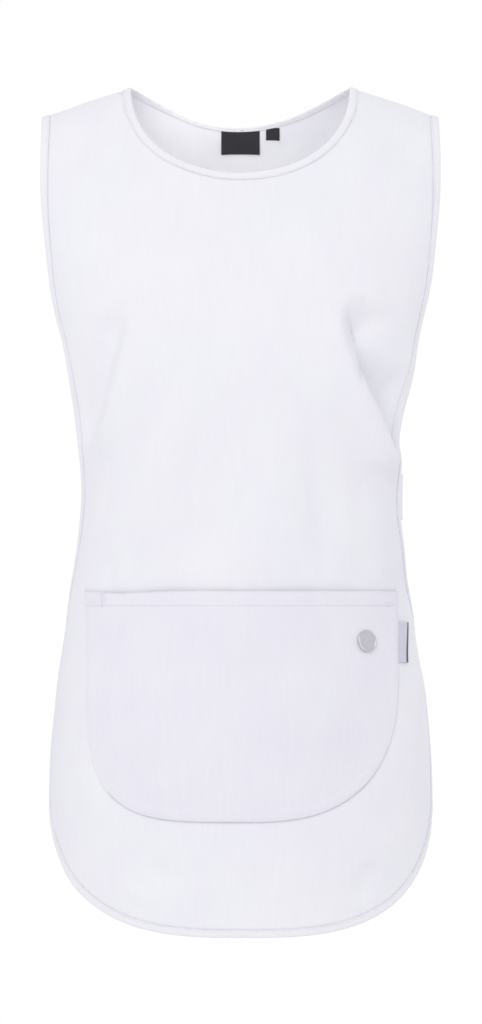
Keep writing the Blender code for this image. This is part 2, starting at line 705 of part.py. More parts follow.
def main():
    for old in list(bpy.data.objects):
        bpy.data.objects.remove(old)
    bpy.context.scene.collection.children.link(bpy.data.collections.new(COLLECTION))

    twill = material("white_twill", (0.86, 0.86, 0.90), 0.85)
    tape = material("white_tape", (0.84, 0.84, 0.89), 0.8)
    black = material("black_satin", (0.01, 0.01, 0.012), 0.45)
    grey = material("grey_ribbon", (0.55, 0.56, 0.62), 0.6)
    metal = material("brushed_metal", (0.72, 0.72, 0.74), 0.35, 1.0)

    make_panel("front_panel", FRONT, twill)
    make_panel("back_panel", BACK, twill)
    make_edge_binding("edge_binding_front", FRONT, tape)
    make_edge_binding("edge_binding_back", BACK, tape)
    make_neck_binding(tape)
    make_pocket(twill)
    make_tab("side_tab_right", 1, TAB_BOW_RIGHT, twill)
    make_tab("side_tab_left", -1, TAB_BOW_LEFT, twill)
    inside = -(WALL / 2 + SEAM_GAP + LABEL_WALL / 2)
    make_label("neck_label", BACK, NECK_LABEL, inside, black)
    make_label("size_label", BACK, SIZE_LABEL, inside, black)
    make_label("side_label", FRONT, SIDE_LABEL, -inside, grey)
    make_badge(metal)


main()
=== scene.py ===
"""A white work tunic, dressed: worn form, bound edges, patch pocket, waist tabs, sewing and trim.

Sizes are millimetres, as a cutter notes them, and MM turns them into metres when a mesh is made.
+Z is up, the front faces -Y, and the origin lies between the two points where the neckline meets the
shoulders.
"""

import math
from collections import namedtuple

import bmesh
import bpy
import numpy as np
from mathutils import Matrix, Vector
from mathutils.kdtree import KDTree


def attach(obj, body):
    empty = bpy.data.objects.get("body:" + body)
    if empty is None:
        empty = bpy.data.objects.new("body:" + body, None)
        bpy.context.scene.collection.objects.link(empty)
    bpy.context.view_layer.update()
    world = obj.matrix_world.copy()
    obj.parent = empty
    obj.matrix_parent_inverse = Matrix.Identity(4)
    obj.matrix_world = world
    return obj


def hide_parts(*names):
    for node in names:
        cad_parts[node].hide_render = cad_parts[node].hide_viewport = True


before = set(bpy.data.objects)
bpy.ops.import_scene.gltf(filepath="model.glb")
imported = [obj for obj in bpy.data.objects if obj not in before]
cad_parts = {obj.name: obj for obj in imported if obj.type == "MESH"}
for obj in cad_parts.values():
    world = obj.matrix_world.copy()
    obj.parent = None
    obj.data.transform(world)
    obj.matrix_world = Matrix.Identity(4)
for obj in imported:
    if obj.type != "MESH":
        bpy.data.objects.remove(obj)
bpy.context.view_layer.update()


# ---------------- studio
# A pale floor where a wearer would stand, a white surround, four large soft lamps and a small one in
# the neck. The camera looks straight at the front, level with the middle of the picture.

MM = 0.001
PICTURE_WIDTH = 482
PICTURE_HEIGHT = 1024
PIXEL = 0.9
ORIGIN_PX = (240.5, 88.0)  # where the picture shows the tunic's origin
CAMERA_AWAY = 3000.0
FLOOR_Z = -1420.0
FLOOR_SIZE = 24000.0
FLOOR_COLOUR = (0.88, 0.88, 0.89, 1.0)
FLOOR_ROUGHNESS = 0.9

scene = bpy.context.scene
scene.view_settings.view_transform = "Standard"


def placed(name, data):
    """A new object in the scene."""
    made = bpy.data.objects.new(name, data)
    scene.collection.objects.link(made)
    return made


camera_data = bpy.data.cameras.new("camera")
camera_data.type = "ORTHO"
camera_data.ortho_scale = PICTURE_HEIGHT * PIXEL * MM
camera = placed("camera", camera_data)
camera.location = (
    (PICTURE_WIDTH / 2 - ORIGIN_PX[0]) * PIXEL * MM,
    -CAMERA_AWAY * MM,
    (ORIGIN_PX[1] - PICTURE_HEIGHT / 2) * PIXEL * MM,
)
camera.rotation_euler = (math.radians(90), 0, 0)
scene.camera = camera

Lamp = namedtuple("Lamp", "name place aim size power colour")
LAMPS = [
    Lamp("front_lamp", (-550, -2700, 900), (0, 0, -420), 1400, 22, (1.0, 0.985, 0.960)),
    Lamp("right_lamp", (2900, 800, 300), (0, 0, -420), 1600, 8, (1.0, 0.985, 0.965)),
    Lamp("left_lamp", (-2900, 800, 300), (0, 0, -420), 1600, 5, (1.0, 0.985, 0.965)),
    Lamp("back_lamp", (900, 2900, 900), (0, 0, -420), 2400, 16, (1.0, 0.985, 0.96)),
    Lamp("neck_lamp", (-12, -15, 0), (0, 90, -75), 110, 0.075, (1.0, 0.985, 0.965)),
]
for lamp in LAMPS:
    light = bpy.data.lights.new(lamp.name, "AREA")
    light.shape = "SQUARE"
    light.size = lamp.size * MM
    light.energy = lamp.power
    light.color = lamp.colour
    stand = placed(lamp.name, light)
    stand.location = Vector(lamp.place) * MM
    aim = Vector(lamp.aim) - Vector(lamp.place)
    stand.rotation_euler = aim.to_track_quat("-Z", "Y").to_euler()
    stand.visible_camera = False

SURROUND_SEEN = (1.0, 1.0, 1.0, 1.0)
SURROUND_LIGHT = (0.940, 0.935, 0.990, 1.0)
SURROUND_STRENGTH = 0.832
world = bpy.data.worlds.new("surround")
world.use_nodes = True
scene.world = world
surround = world.node_tree
seen = surround.nodes["Background"]
seen.inputs["Color"].default_value = SURROUND_SEEN
lit = surround.nodes.new("ShaderNodeBackground")
lit.inputs["Color"].default_value = SURROUND_LIGHT
lit.inputs["Strength"].default_value = SURROUND_STRENGTH
ray = surround.nodes.new("ShaderNodeLightPath")
choice = surround.nodes.new("ShaderNodeMixShader")
surround.links.new(ray.outputs["Is Camera Ray"], choice.inputs["Fac"])
surround.links.new(lit.outputs["Background"], choice.inputs[1])
surround.links.new(seen.outputs["Background"], choice.inputs[2])
surround.links.new(choice.outputs["Shader"], surround.nodes["World Output"].inputs["Surface"])

half_floor = FLOOR_SIZE / 2
floor_corners = []
for x, y in ((-1, -1), (1, -1), (1, 1), (-1, 1)):
    floor_corners.append(Vector((x * half_floor, y * half_floor, FLOOR_Z)) * MM)
floor_mesh = bpy.data.meshes.new("floor")
floor_mesh.from_pydata(floor_corners, [], [(0, 1, 2, 3)])
floor = placed("floor", floor_mesh)
floor_finish = bpy.data.materials.new("pale_floor")
floor_finish.use_nodes = True
floor_shader = floor_finish.node_tree.nodes["Principled BSDF"]
floor_shader.inputs["Base Color"].default_value = FLOOR_COLOUR
floor_shader.inputs["Roughness"].default_value = FLOOR_ROUGHNESS
floor_mesh.materials.append(floor_finish)


# ---------------- front
# Cut in one from white cotton and polyester twill, with a wide round neck and rounded hem corners.
# Worn, it arches over the shoulders, falls from the bust, is drawn in at the waist by the side tabs
# and flares over the hips.

TWILL = 0.5  # thickness of one layer of the cloth
NECK_HALF_WIDTH = 98.5
FRONT_NECK_DROP = 76.0
FRONT_NECK_POWERS = (0.943, 0.943)  # of the sine that gives x and the cosine that gives z
SHOULDER_RUN = 80.0
SHOULDER_FALL = 27.0
SHOULDER_CURVE = 1.06  # 1 is a straight ridge; above it the ridge falls slowly at first
ARCH_RADIUS = 14.0  # the cloth turns over the shoulder ridge on this radius
ARCH_SLOPE = 0.95
ARCH_BLEND = 4.0
CORNER_SOFTNESS = 0.7  # below the neck's corners the arch turns ever more softly
RIDGE_TURN = 2 * ARCH_RADIUS * ARCH_SLOPE
LEFT_SEAM_FORWARD = 11.0  # the left shoulder seam lies this far in front of the ridge at the neck
HEM_JOIN = -650.0
HEM_CORNER_TOP = -625.0
HEM_ROUNDNESS = {1: 3.0, -1: 2.8}
HEM_CORNER_TURN = 0.52  # share of the quarter at which the cloth's grid turns from side to hem
FRONT_HEM = (172.0, -765.0)

# Level sections of the worn form: (height, depth, half width, squareness, edge, wrap). The depth runs
# from the side line to the middle of the panel, squareness 2 is an ellipse, the edge is how far out
# the bound edge stands, and the wrap is the degrees that it goes on past the side line.
FRONT_LEVELS = [
    (10, 46, 207, 2.2, 177, 0),
    (-27, 54, 207, 2.2, 178.6, 0),
    (-60, 68, 205, 2.2, 180, 0),
    (-100, 88, 199, 2.3, 179.3, 0),
    (-150, 112, 189, 2.4, 174.7, 0),
    (-200, 124, 178, 2.5, 167, 0),
    (-250, 127, 167, 2.5, 156.5, 0),
    (-300, 123, 157, 2.4, 149, 0),
    (-350, 118, 150, 2.3, 143.8, 0),
    (-390, 116, 148.5, 2.2, 144, 0),
    (-436, 116, 150, 2.1, 149.6, 0),
    (-480, 117, 156.4, 2, 156.4, 4),
    (-530, 119, 163.8, 2, 163.8, 6),
    (-580, 121, 169, 2, 169, 3),
    (-625, 122, 171.7, 2, 171.5, 0),
    (-650, 122, 172.3, 2, 171.8, 0),
    (-775, 124, 173, 2, 172.5, 0),
]

# Creases in front view; left and right are meant for one that runs down. bow: how far its middle stands
# to the right of the straight line. height: above 0 a ridge, below 0 a trough. skew: above 0 it is
# steeper on its right, below 0 on its left.
Crease = namedtuple("Crease", "start_x start_z end_x end_z bow width height skew fade_in fade_out")
FRONT_CREASES = [
    # bust to waist, right: outside a ridge the cloth falls back into a deep trough, which runs down
    # to the side's edge
    (96, -186, 131, -296, 0, 18, -15.5, -0.45, 0.3, 0.5),
    (107, -232, 156, -346, 4, 18, -23, -0.45, 0.46, 0.26),
    (81, -188, 117, -296, 0, 11, 5.6, 0.35, 0.32, 0.5),
    (94, -236, 140, -362, 4, 13, 12, 0.2, 0.44, 0.28),
    (112, -362, 130, -456, 0, 12, 3, 0, 0.35, 0.3),
    # bust to waist, left: the same, softer
    (-104, -188, -146, -346, -3, 16, -10, 0.3, 0.24, 0.34),
    (-89, -190, -130, -350, -3, 13, 4.2, -0.2, 0.24, 0.32),
    (-124, -300, -142, -392, 0, 9, -1.6, 0, 0.4, 0.4),
    # soft drapes between them
    (-62, -262, -92, -450, 2, 17, 4, 0, 0.4, 0.35),
    (-20, -250, -32, -456, 0, 24, -5, 0, 0.4, 0.3),
    (-38, -262, -44, -452, -1.5, 8, -1.4, 0, 0.45, 0.3),
    (33, -300, 36, -458, 1, 17, 3.4, 0, 0.4, 0.25),
    (16, -340, 24, -450, 0, 7, 1.3, 0, 0.45, 0.35),
    (64, -290, 76, -456, 0, 12, -3.2, 0, 0.4, 0.25),
    (92, -322, 100, -450, 0, 8, 1.4, 0, 0.45, 0.35),
    # short slanting folds over the pocket's mouth
    (-112, -412, -124, -452, 1, 4.5, -1.6, 0, 0.4, 0.3),
    (-103, -420, -114, -454, 0, 4, 1.4, 0, 0.45, 0.25),
    (22, -372, 60, -398, 0, 6, -0.6, 0, 0.45, 0.45),
    (28, -388, 52, -410, 0, 5, 0.5, 0, 0.45, 0.45),
    # under the shoulders
    (172, -44, 112, -74, 0, 15, -4, 0, 0.45, 0.55),
    (172, -66, 122, -92, 1, 9, 1, 0, 0.45, 0.55),
    (-168, -46, -108, -74, 0, 15, -3.6, 0, 0.45, 0.55),
    (108, -14, 126, -46, 0, 7, -0.8, 0, 0.4, 0.5),
    (-110, -22, -136, -60, 0, 8, -0.7, 0, 0.4, 0.5),
    # below the bound neck
    (-60, -78, -84, -128, 1, 8, -0.7, 0, 0.3, 0.6),
    (64, -76, 92, -130, -1, 8, -0.8, 0, 0.3, 0.6),
    # beside and below the pocket
    (-146, -506, -150, -610, 0, 7, -0.9, 0, 0.4, 0.45),
    (147, -404, 157, -570, -2, 10, -4, -0.2, 0.35, 0.4),
    (150, -560, 156, -650, 0, 8, 1.1, 0, 0.4, 0.4),
    (-92, -702, -44, -714, 0, 12, -3.6, 0, 0.4, 0.4),
    (-110, -716, -70, -734, -2, 7, 1.6, 0, 0.4, 0.4),
    (102, -738, 124, -690, 0, 11, -3.4, 0, 0.4, 0.4),
    (12, -690, 20, -744, 0, 10, -1.3, 0, 0.4, 0.4),
]


def smooth_span(t, start, start_way, end, end_way):
    """Between two values at t from 0 to 1, leaving and arriving at given slopes."""
    first = start * (2 * t**3 - 3 * t**2 + 1) + start_way * (t**3 - 2 * t**2 + t)
    return first + (end * (3 * t**2 - 2 * t**3) + end_way * (t**3 - t**2))


def smooth_curve(heights, values):
    """A smooth curve through values at rising heights."""
    slopes = np.empty(len(values))
    slopes[1:-1] = (values[2:] - values[:-2]) / (heights[2:] - heights[:-2])
    slopes[0] = (values[1] - values[0]) / (heights[1] - heights[0])
    slopes[-1] = (values[-1] - values[-2]) / (heights[-1] - heights[-2])

    def at(z):
        z = np.clip(z, heights[0], heights[-1])
        i = np.clip(np.searchsorted(heights, z) - 1, 0, len(heights) - 2)
        span = heights[i + 1] - heights[i]
        t = (z - heights[i]) / span
        return smooth_span(t, values[i], slopes[i] * span, values[i + 1], slopes[i + 1] * span)

    return at


def smooth_step(t):
    """Rises smoothly from 0 at t = 0 to 1 at t = 1."""
    t = np.clip(t, 0.0, 1.0)
    return t * t * (3 - 2 * t)


def bell(x, middle, width):
    """A soft bell: 1 at the middle, falling to nothing beside it."""
    return np.exp(-(((x - middle) / width) ** 2))


def unit(vectors):
    return vectors / np.linalg.norm(vectors, axis=-1, keepdims=True)


def along(points):
    """How far along a line of points each one lies."""
    steps = np.linalg.norm(np.diff(points, axis=0), axis=-1)
    return np.concatenate([[0.0], np.cumsum(steps)])


NARROW_END = 0.4  # how wide a crease is where it runs out


def crease_lift(creases, x, z):
    """How far creases lift the cloth off its smooth form."""
    lifted = np.zeros_like(x)
    for row in creases:
        crease = Crease(*row)
        run_x, run_z = crease.end_x - crease.start_x, crease.end_z - crease.start_z
        length = math.hypot(run_x, run_z)
        t = ((x - crease.start_x) * run_x + (z - crease.start_z) * run_z) / length**2
        off = ((x - crease.start_x) * run_z - (z - crease.start_z) * run_x) / length
        off = off + crease.bow * 4 * t * (1 - t)
        window = smooth_step(t / crease.fade_in) * smooth_step((1 - t) / crease.fade_out)
        width = crease.width * np.where(off > 0, 1 + crease.skew, 1 - crease.skew)
        width = width * (NARROW_END + (1 - NARROW_END) * window)
        lifted += crease.height * window * bell(off, 0.0, width)
    return lifted


def corner(turn, width, height, powers):
    """x and z on a rounded corner; turn is 0 on its middle line and pi / 2 at its side."""
    x = width * np.maximum(0.0, np.sin(turn)) ** powers[0]
    return x, height * np.maximum(0.0, np.cos(turn)) ** powers[1]


def ridge_height(x):
    """Height of the shoulder ridge."""
    out = np.maximum(0.0, (np.abs(x) - NECK_HALF_WIDTH) / SHOULDER_RUN)
    return -SHOULDER_FALL * out**SHOULDER_CURVE


def down_at(x, z):
    """How far below the ridge, over the cloth, the height z lies at x."""
    drop = np.maximum(0.0, ridge_height(x) - z)
    return (drop + np.sqrt(drop * drop + 4 * RIDGE_TURN * drop)) / 2


WAVES = 26  # slight unevenness of worn cloth: this many long soft waves
WAVE_LENGTHS = (46.0, 150.0)
WAVE_HEIGHT = 0.11
EDGE_HOLD = 0.82  # share by which the tape flattens creases at a bound edge
HELD_FROM = 0.87  # from this share of the half width outwards
STEP_ACROSS = 0.004  # small steps over which the cloth's slopes are measured
STEP_DOWN = 0.8
HEIGHT_ROUNDS = 4  # rounds in which the height of a place settles
LEAST = 1e-6  # keeps a divisor above zero
OUTLINE_STEPS = 500
SEAM_CLEARANCE = 2.0  # no point of the neckline lies nearer to the seam, apart from its end
SEAM_RETURN = 0.8  # share of the shoulder over which the left seam comes back to the ridge
EDGE_STEPS = (0.0, 0.6, 1.2, 1.8, 2.3, 2.8, 3.5, 4.5, 6.0)  # the grid is fine this far in from edges


def crowded(length, plain, near_start, near_end):
    """Shares of a length: even steps between given distances from its start and from its end."""
    start = np.array(near_start) / length
    end = 1 - np.array(near_end[::-1]) / length
    return np.concatenate([start, np.linspace(start[-1], end[0], plain + 1)[1:-1], end])


def filled(start, end, top, bottom, rows, columns):
    """Grid of places that fills four outlines which meet at their ends; its rows run from top to
    bottom. rows and columns say at which shares they lie."""
    q = rows[:, None, None]
    p = columns[None, :, None]
    sides = (1 - p) * start[:, None] + p * end[:, None]
    levels = (1 - q) * top[None] + q * bottom[None]
    corners = (1 - p) * (1 - q) * top[0] + p * (1 - q) * top[-1]
    corners = corners + (1 - p) * q * bottom[0] + p * q * bottom[-1]
    return sides + levels - corners


class Panel:
    """A side of the worn tunic. A place on it is (across, down): across runs from -1 on the left bound
    edge to 1 on the right one, and down is the way over the cloth from the shoulder ridge."""

    def __init__(self, levels, creases, outward, neck_drop, neck_powers, hem, seed):
        heights, depths, half_widths, squareness, edges, wraps = np.array(levels[::-1], float).T
        angles = np.arcsin(np.minimum(1.0, edges / half_widths)) + np.radians(wraps)
        self.edge_angle = smooth_curve(heights, angles)
        self.depth = smooth_curve(heights, depths)
        self.half_width = smooth_curve(heights, half_widths)
        self.squareness = smooth_curve(heights, squareness)
        self.creases = creases
        self.outward = outward
        self.neck_drop = neck_drop
        self.neck_powers = neck_powers
        self.hem_x, self.hem_z = hem
        chance = np.random.default_rng(seed)
        self.wave_lengths = chance.uniform(*WAVE_LENGTHS, WAVES)
        self.wave_turns = chance.uniform(0, 2 * np.pi, WAVES)
        self.wave_starts = chance.uniform(0, 2 * np.pi, WAVES)

    def form(self, places):
        """Points of the smooth worn form."""
        across, down = places[..., 0], places[..., 1]
        drop = down**2 / (np.abs(down) + RIDGE_TURN)
        z = -drop
        for _ in range(HEIGHT_ROUNDS):
            angle = across * self.edge_angle(z)
            x = self.half_width(z) * np.sin(angle)
            z = ridge_height(x) - drop
        square = self.squareness(z)
        reach = np.maximum(0.0, 1 - np.abs(np.sin(angle)) ** square) ** (1 / square)
        out = self.depth(z) * reach * np.sign(np.cos(angle))
        beyond = np.abs(x) - NECK_HALF_WIDTH
        beyond = (beyond + np.hypot(beyond, CORNER_SOFTNESS * drop)) / 2
        soft_drop = -SHOULDER_FALL * (beyond / SHOULDER_RUN) ** SHOULDER_CURVE - z
        arch = np.sqrt((ARCH_SLOPE * soft_drop + ARCH_RADIUS) ** 2 - ARCH_RADIUS**2)
        held = arch / (1 + (arch / np.maximum(out, LEAST)) ** ARCH_BLEND) ** (1 / ARCH_BLEND)
        out = np.where(out > 0, held, out)
        return np.stack([x, self.outward * out * np.sign(down), z], axis=-1)

    def slopes(self, places):
        """How the form's point moves for each unit of across, and for each unit of down."""
        aside, below = np.array([STEP_ACROSS, 0.0]), np.array([0.0, STEP_DOWN])
        per_across = (self.form(places + aside) - self.form(places - aside)) / (2 * STEP_ACROSS)
        per_down = (self.form(places + below) - self.form(places - below)) / (2 * STEP_DOWN)
        return per_across, per_down

    def relief(self, x, z):
        """How far creases and slight unevenness lift the cloth off its smooth form. The tape holds its
        edges nearly even."""
        across = np.arcsin(np.clip(x / self.half_width(z), -1.0, 1.0)) / self.edge_angle(z)
        free = 1 - EDGE_HOLD * smooth_step((np.abs(across) - HELD_FROM) / (1 - HELD_FROM))
        lifted = crease_lift(self.creases, x, z) * free
        for length, turn, start in zip(self.wave_lengths, self.wave_turns, self.wave_starts):
            way = (x * math.cos(turn) + z * math.sin(turn)) / length
            lifted += WAVE_HEIGHT * np.sin(2 * np.pi * way + start)
        return lifted

    def normals(self, places):
        """Outward directions of the smooth form."""
        per_across, per_down = self.slopes(places)
        return unit(np.cross(per_across, per_down)) * self.outward

    def cloth(self, places, lift=0.0):
        """Points on the cloth at places, moved outwards by lift."""
        points = self.form(places)
        lifted = self.relief(points[..., 0], points[..., 2]) + lift
        return points + self.normals(places) * lifted[..., None]

    def seen(self, x, z):
        """Places that the front view shows at (x, z)."""
        x, z = np.broadcast_arrays(np.asarray(x, float), np.asarray(z, float))
        angle = np.arcsin(np.clip(x / self.half_width(z), -1.0, 1.0))
        return np.stack([angle / self.edge_angle(z), down_at(x, z)], axis=-1)

    def level_line(self, across, z):
        """Places at the height z where lines run down the panel at across."""
        across, z = np.broadcast_arrays(np.asarray(across, float), np.asarray(z, float))
        x = self.half_width(z) * np.sin(across * self.edge_angle(z))
        return np.stack([across, down_at(x, z)], axis=-1)

    def spaced(self, places, shares):
        """Places along an outline, at shares of its length over the cloth."""
        lengths = along(self.form(places))
        wanted = lengths[-1] * shares
        return np.stack([np.interp(wanted, lengths, places[:, i]) for i in (0, 1)], axis=-1)

    def moved_in(self, outline, distance, from_seam=False, to_seam=False):
        """The outline moved over the cloth by distance, to the right of its direction in front view.
        At a seam end it moves along the seam only."""
        per_across, per_down = self.slopes(outline)
        way = np.gradient(self.form(outline), axis=0)
        distance = np.broadcast_to(distance, len(outline))
        inward = unit(np.cross(np.cross(per_across, per_down), way)) * distance[:, None]
        across_across = (per_across * per_across).sum(1)
        across_down = (per_across * per_down).sum(1)
        down_down = (per_down * per_down).sum(1)
        in_across = (inward * per_across).sum(1)
        in_down = (inward * per_down).sum(1)
        scale = across_across * down_down - across_down * across_down
        step_across = (in_across * down_down - in_down * across_down) / scale
        step_down = (in_down * across_across - in_across * across_down) / scale
        moved = outline + np.stack([step_across, step_down], 1)
        for end, sewn in ((0, from_seam), (-1, to_seam)):
            if sewn:
                moved[end] = outline[end]
                step = abs(distance[end]) / math.sqrt(across_across[end])
                moved[end, 0] += math.copysign(step, in_across[end])
        return moved

    def seam_down(self, x):
        """How far below the ridge, over the cloth, the shoulder seam lies."""
        share = (np.abs(x) - NECK_HALF_WIDTH) / SHOULDER_RUN
        forward = LEFT_SEAM_FORWARD * (1 - smooth_step(share / SEAM_RETURN)) * (x < 0)
        return -self.outward * forward

    def half_neck(self, hand, shares):
        """From the middle line up the neckline to the shoulder seam. hand is 1 right, -1 left."""
        turn = np.linspace(0, np.pi / 2, OUTLINE_STEPS)
        width = hand * NECK_HALF_WIDTH
        places = self.seen(*corner(turn, width, -self.neck_drop, self.neck_powers))
        seam = (places[-1, 0], self.seam_down(width))
        clear = places[places[:, 1] > seam[1] + SEAM_CLEARANCE]
        return self.spaced(np.vstack([clear, [seam]]), shares)

    def neck(self, count):
        """The whole neckline, from the right shoulder seam down and up to the left one."""
        shares = np.linspace(0, 1, count // 2)
        return np.vstack([self.half_neck(1, shares)[::-1], self.half_neck(-1, shares)[1:]])

    def half_hem(self, hand, begin, end):
        """Places along the hem's quarter, from its share begin to its share end; 0 is the middle."""
        power = 2 / HEM_ROUNDNESS[hand]
        fall = self.hem_z - HEM_CORNER_TOP
        join_turn = math.acos(((HEM_JOIN - HEM_CORNER_TOP) / fall) ** (1 / power))
        turn = join_turn * np.linspace(begin, end, OUTLINE_STEPS)
        x, z = corner(turn, hand * self.hem_x, fall, (power, power))
        return self.seen(x, HEM_CORNER_TOP + z)

    def side(self, hand):
        """From the shoulder seam down the bound edge to the hem's corner."""
        end = self.half_hem(hand, 1.0, HEM_CORNER_TURN)
        start = self.seam_down(hand * (NECK_HALF_WIDTH + SHOULDER_RUN))
        down = np.linspace(start, end[0, 1], OUTLINE_STEPS)[:-1]
        return np.vstack([np.stack([np.full(len(down), float(hand)), down], 1), end])

    def edge(self, count):
        """The whole bound edge: right shoulder, hem, left shoulder."""
        right = np.vstack([self.side(1), self.half_hem(1, HEM_CORNER_TURN, 0.0)[1:]])
        left = np.vstack([self.half_hem(-1, 0.0, HEM_CORNER_TURN), self.side(-1)[::-1][1:]])
        return self.spaced(np.vstack([right, left[1:]]), np.linspace(0, 1, count))

    def half(self, hand, inset, rows, neck_columns, shoulder_columns):
        """Grid of places of one half, from the middle line to inset from the bound edges."""
        even = np.linspace(0, 1, OUTLINE_STEPS)
        side = self.moved_in(self.spaced(self.side(hand), even), inset * hand, from_seam=True)
        hem = self.spaced(self.half_hem(hand, 0.0, HEM_CORNER_TURN), even)
        hem = self.moved_in(hem, -inset * hand)
        hem[0, 0] = 0.0
        side[-1] = hem[-1] = (side[-1] + hem[-1]) / 2
        neck = self.moved_in(self.half_neck(hand, even), inset * hand, to_seam=True)
        neck[0, 0] = 0.0
        across = np.linspace(neck[-1, 0], side[0, 0], OUTLINE_STEPS)
        x = self.form(np.stack([across, 0 * across], 1))[:, 0]
        shoulder = np.stack([across, self.seam_down(x)], 1)
        shoulder[0] = neck[-1]
        side[0] = shoulder[-1]
        neck_length, shoulder_length = along(self.form(neck))[-1], along(self.form(shoulder))[-1]
        over_neck = np.linspace(0, 1, neck_columns + 1)
        over_shoulder = crowded(shoulder_length, shoulder_columns, (0.0,), EDGE_STEPS)
        top = np.vstack([self.spaced(neck, over_neck), self.spaced(shoulder, over_shoulder)[1:]])
        turn = neck_length / (neck_length + shoulder_length)
        columns = np.concatenate([turn * over_neck, turn + (1 - turn) * over_shoulder[1:]])
        rows = crowded(along(self.form(side))[-1], rows, EDGE_STEPS, EDGE_STEPS)
        middle = np.stack([0 * rows, top[0, 1] + (hem[0, 1] - top[0, 1]) * rows], 1)
        return filled(middle, self.spaced(side, rows), top, self.spaced(hem, columns), rows, columns)


class NodeTree:
    """Nodes of a material or of a way of making a shape, added one by one."""

    def __init__(self, tree):
        self.tree = tree

    def node(self, kind, settings=None, sockets=None, output=0):
        made = self.tree.nodes.new(kind)
        for name, value in (settings or {}).items():
            setattr(made, name, value)
        for key, value in (sockets or {}).items():
            self.join(value, made.inputs[key])
        return Value(self, made.outputs[output])

    def join(self, value, socket):
        if isinstance(value, Value):
            self.tree.links.new(value.socket, socket)
        else:
            socket.default_value = value


class Value:
    """One output of a node, which takes Python's arithmetic."""

    def __init__(self, nodes, socket):
        self.nodes = nodes
        self.socket = socket

    def reckon(self, operation, *numbers):
        return self.nodes.node("ShaderNodeMath", {"operation": operation}, dict(enumerate(numbers)))

    def __add__(self, other):
        return self.reckon("ADD", self, other)

    def __radd__(self, other):
        return self.reckon("ADD", other, self)

    def __sub__(self, other):
        return self.reckon("SUBTRACT", self, other)

    def __rsub__(self, other):
        return self.reckon("SUBTRACT", other, self)

    def __mul__(self, other):
        return self.reckon("MULTIPLY", self, other)

    def __rmul__(self, other):
        return self.reckon("MULTIPLY", other, self)

    def exponent(self):
        return self.reckon("EXPONENT", self)

    def held(self):
        """Kept between 0 and 1."""
        return self.reckon("MINIMUM", self.reckon("MAXIMUM", self, 0.0), 1.0)

    def step(self, begin, end):
        """Rises from 0 at begin to 1 at end."""
        return ((self - begin) * (1 / (end - begin))).held()

    def wave(self, length):
        """A sine of this length along the value, from 0 to 1."""
        return 0.5 + 0.5 * self.reckon("SINE", self * (2 * math.pi / length))


class Finish(NodeTree):
    """A material while it is put together."""

    def __init__(self, name, **constants):
        self.material = bpy.data.materials.new(name)
        self.material.use_nodes = True
        super().__init__(self.material.node_tree)
        self.shader = self.tree.nodes["Principled BSDF"]
        for socket, value in constants.items():
            self.shader.inputs[socket.replace("_", " ")].default_value = value

    def noise(self, x, y, scale, detail=1.0, z=0.0):
        """Soft noise from 0 to 1 over two values, each with its own scale."""
        sockets = {"X": x * scale[0], "Y": y * scale[1], "Z": z}
        place = self.node("ShaderNodeCombineXYZ", None, sockets)
        sockets = {"Vector": place, "Scale": 1.0, "Detail": detail}
        return self.node("ShaderNodeTexNoise", None, sockets)

    def blend(self, share, first, second):
        """A colour between first, at share 0, and second, at share 1."""
        sockets = {0: share, 6: first, 7: second}
        return self.node("ShaderNodeMix", {"data_type": "RGBA"}, sockets, output=2)

    def split(self, place):
        """The three numbers of a vector."""
        outputs = self.node("ShaderNodeSeparateXYZ", None, {"Vector": place}).socket.node.outputs
        return [Value(self, socket) for socket in outputs]

    def read(self, map_name):
        """The two values of one of the piece's UV maps, which are in metres."""
        return self.split(self.node("ShaderNodeUVMap", {"uv_map": map_name}))[:2]

    def wear(self, colour, roughness, height):
        """Joins what changes over the surface to the shader; height is in metres."""
        self.join(colour, self.shader.inputs["Base Color"])
        self.join(roughness, self.shader.inputs["Roughness"])
        sockets = {"Strength": 1.0, "Distance": 1.0, "Height": height}
        self.join(self.node("ShaderNodeBump", None, sockets), self.shader.inputs["Normal"])
        return self.material


# How often the cloth's unevenness changes in a metre, across it and down it; for the last two, which
# drift the gathers and vary the painted seam shadow, along a seam and away from it
SLUBS = (1300, 40)
STREAKS = (340, 24)
MOTTLES = (26, 15)
CLOUDS = (11, 8)
GATHER_DRIFTS = (60, 40)
SHADOW_LINE_CHANGES = (26, 0)
# Lengths of its repeats and heights of its relief, in metres
TWILL_WALE = 0.00085
WEAVE_TO_WALE = 0.62
GATHER_LENGTH = 0.0065
GATHER_DRIFT = 0.012
TWILL_PUCKERS = 0.00026
WALE_HEIGHT = 0.000035
WEAVE_HEIGHT = 0.000018
SLUB_HEIGHT = 0.00003
STREAK_HEIGHT = 0.00004
GATHER_FADE = 250  # how fast gathers and the painted seam shadow fade away from a seam, for each metre
SHADOW_LINE_FADE = 1500
GATHERS_GROW = (0.55, 0.75)  # metres below the shoulder between which gathers grow to their full height
GATHERS_ABOVE = 0.25  # share of it above
COOLER = 0.02  # how much less red the cool clouds have
SLUB_SHARE = 0.5  # shares of the three kinds of unevenness in the colour
STREAK_SHARE = 0.45
MOTTLE_SHARE = 0.8
SHADOW_LINE_GAIN = 2.2  # these make the painted seam shadow come and go
SHADOW_LINE_LOSS = 0.3
# colour of the painted shadow beside seams
PAINTED_SEAM_SHADOW = (0.50, 0.48, 0.60, 1.0)


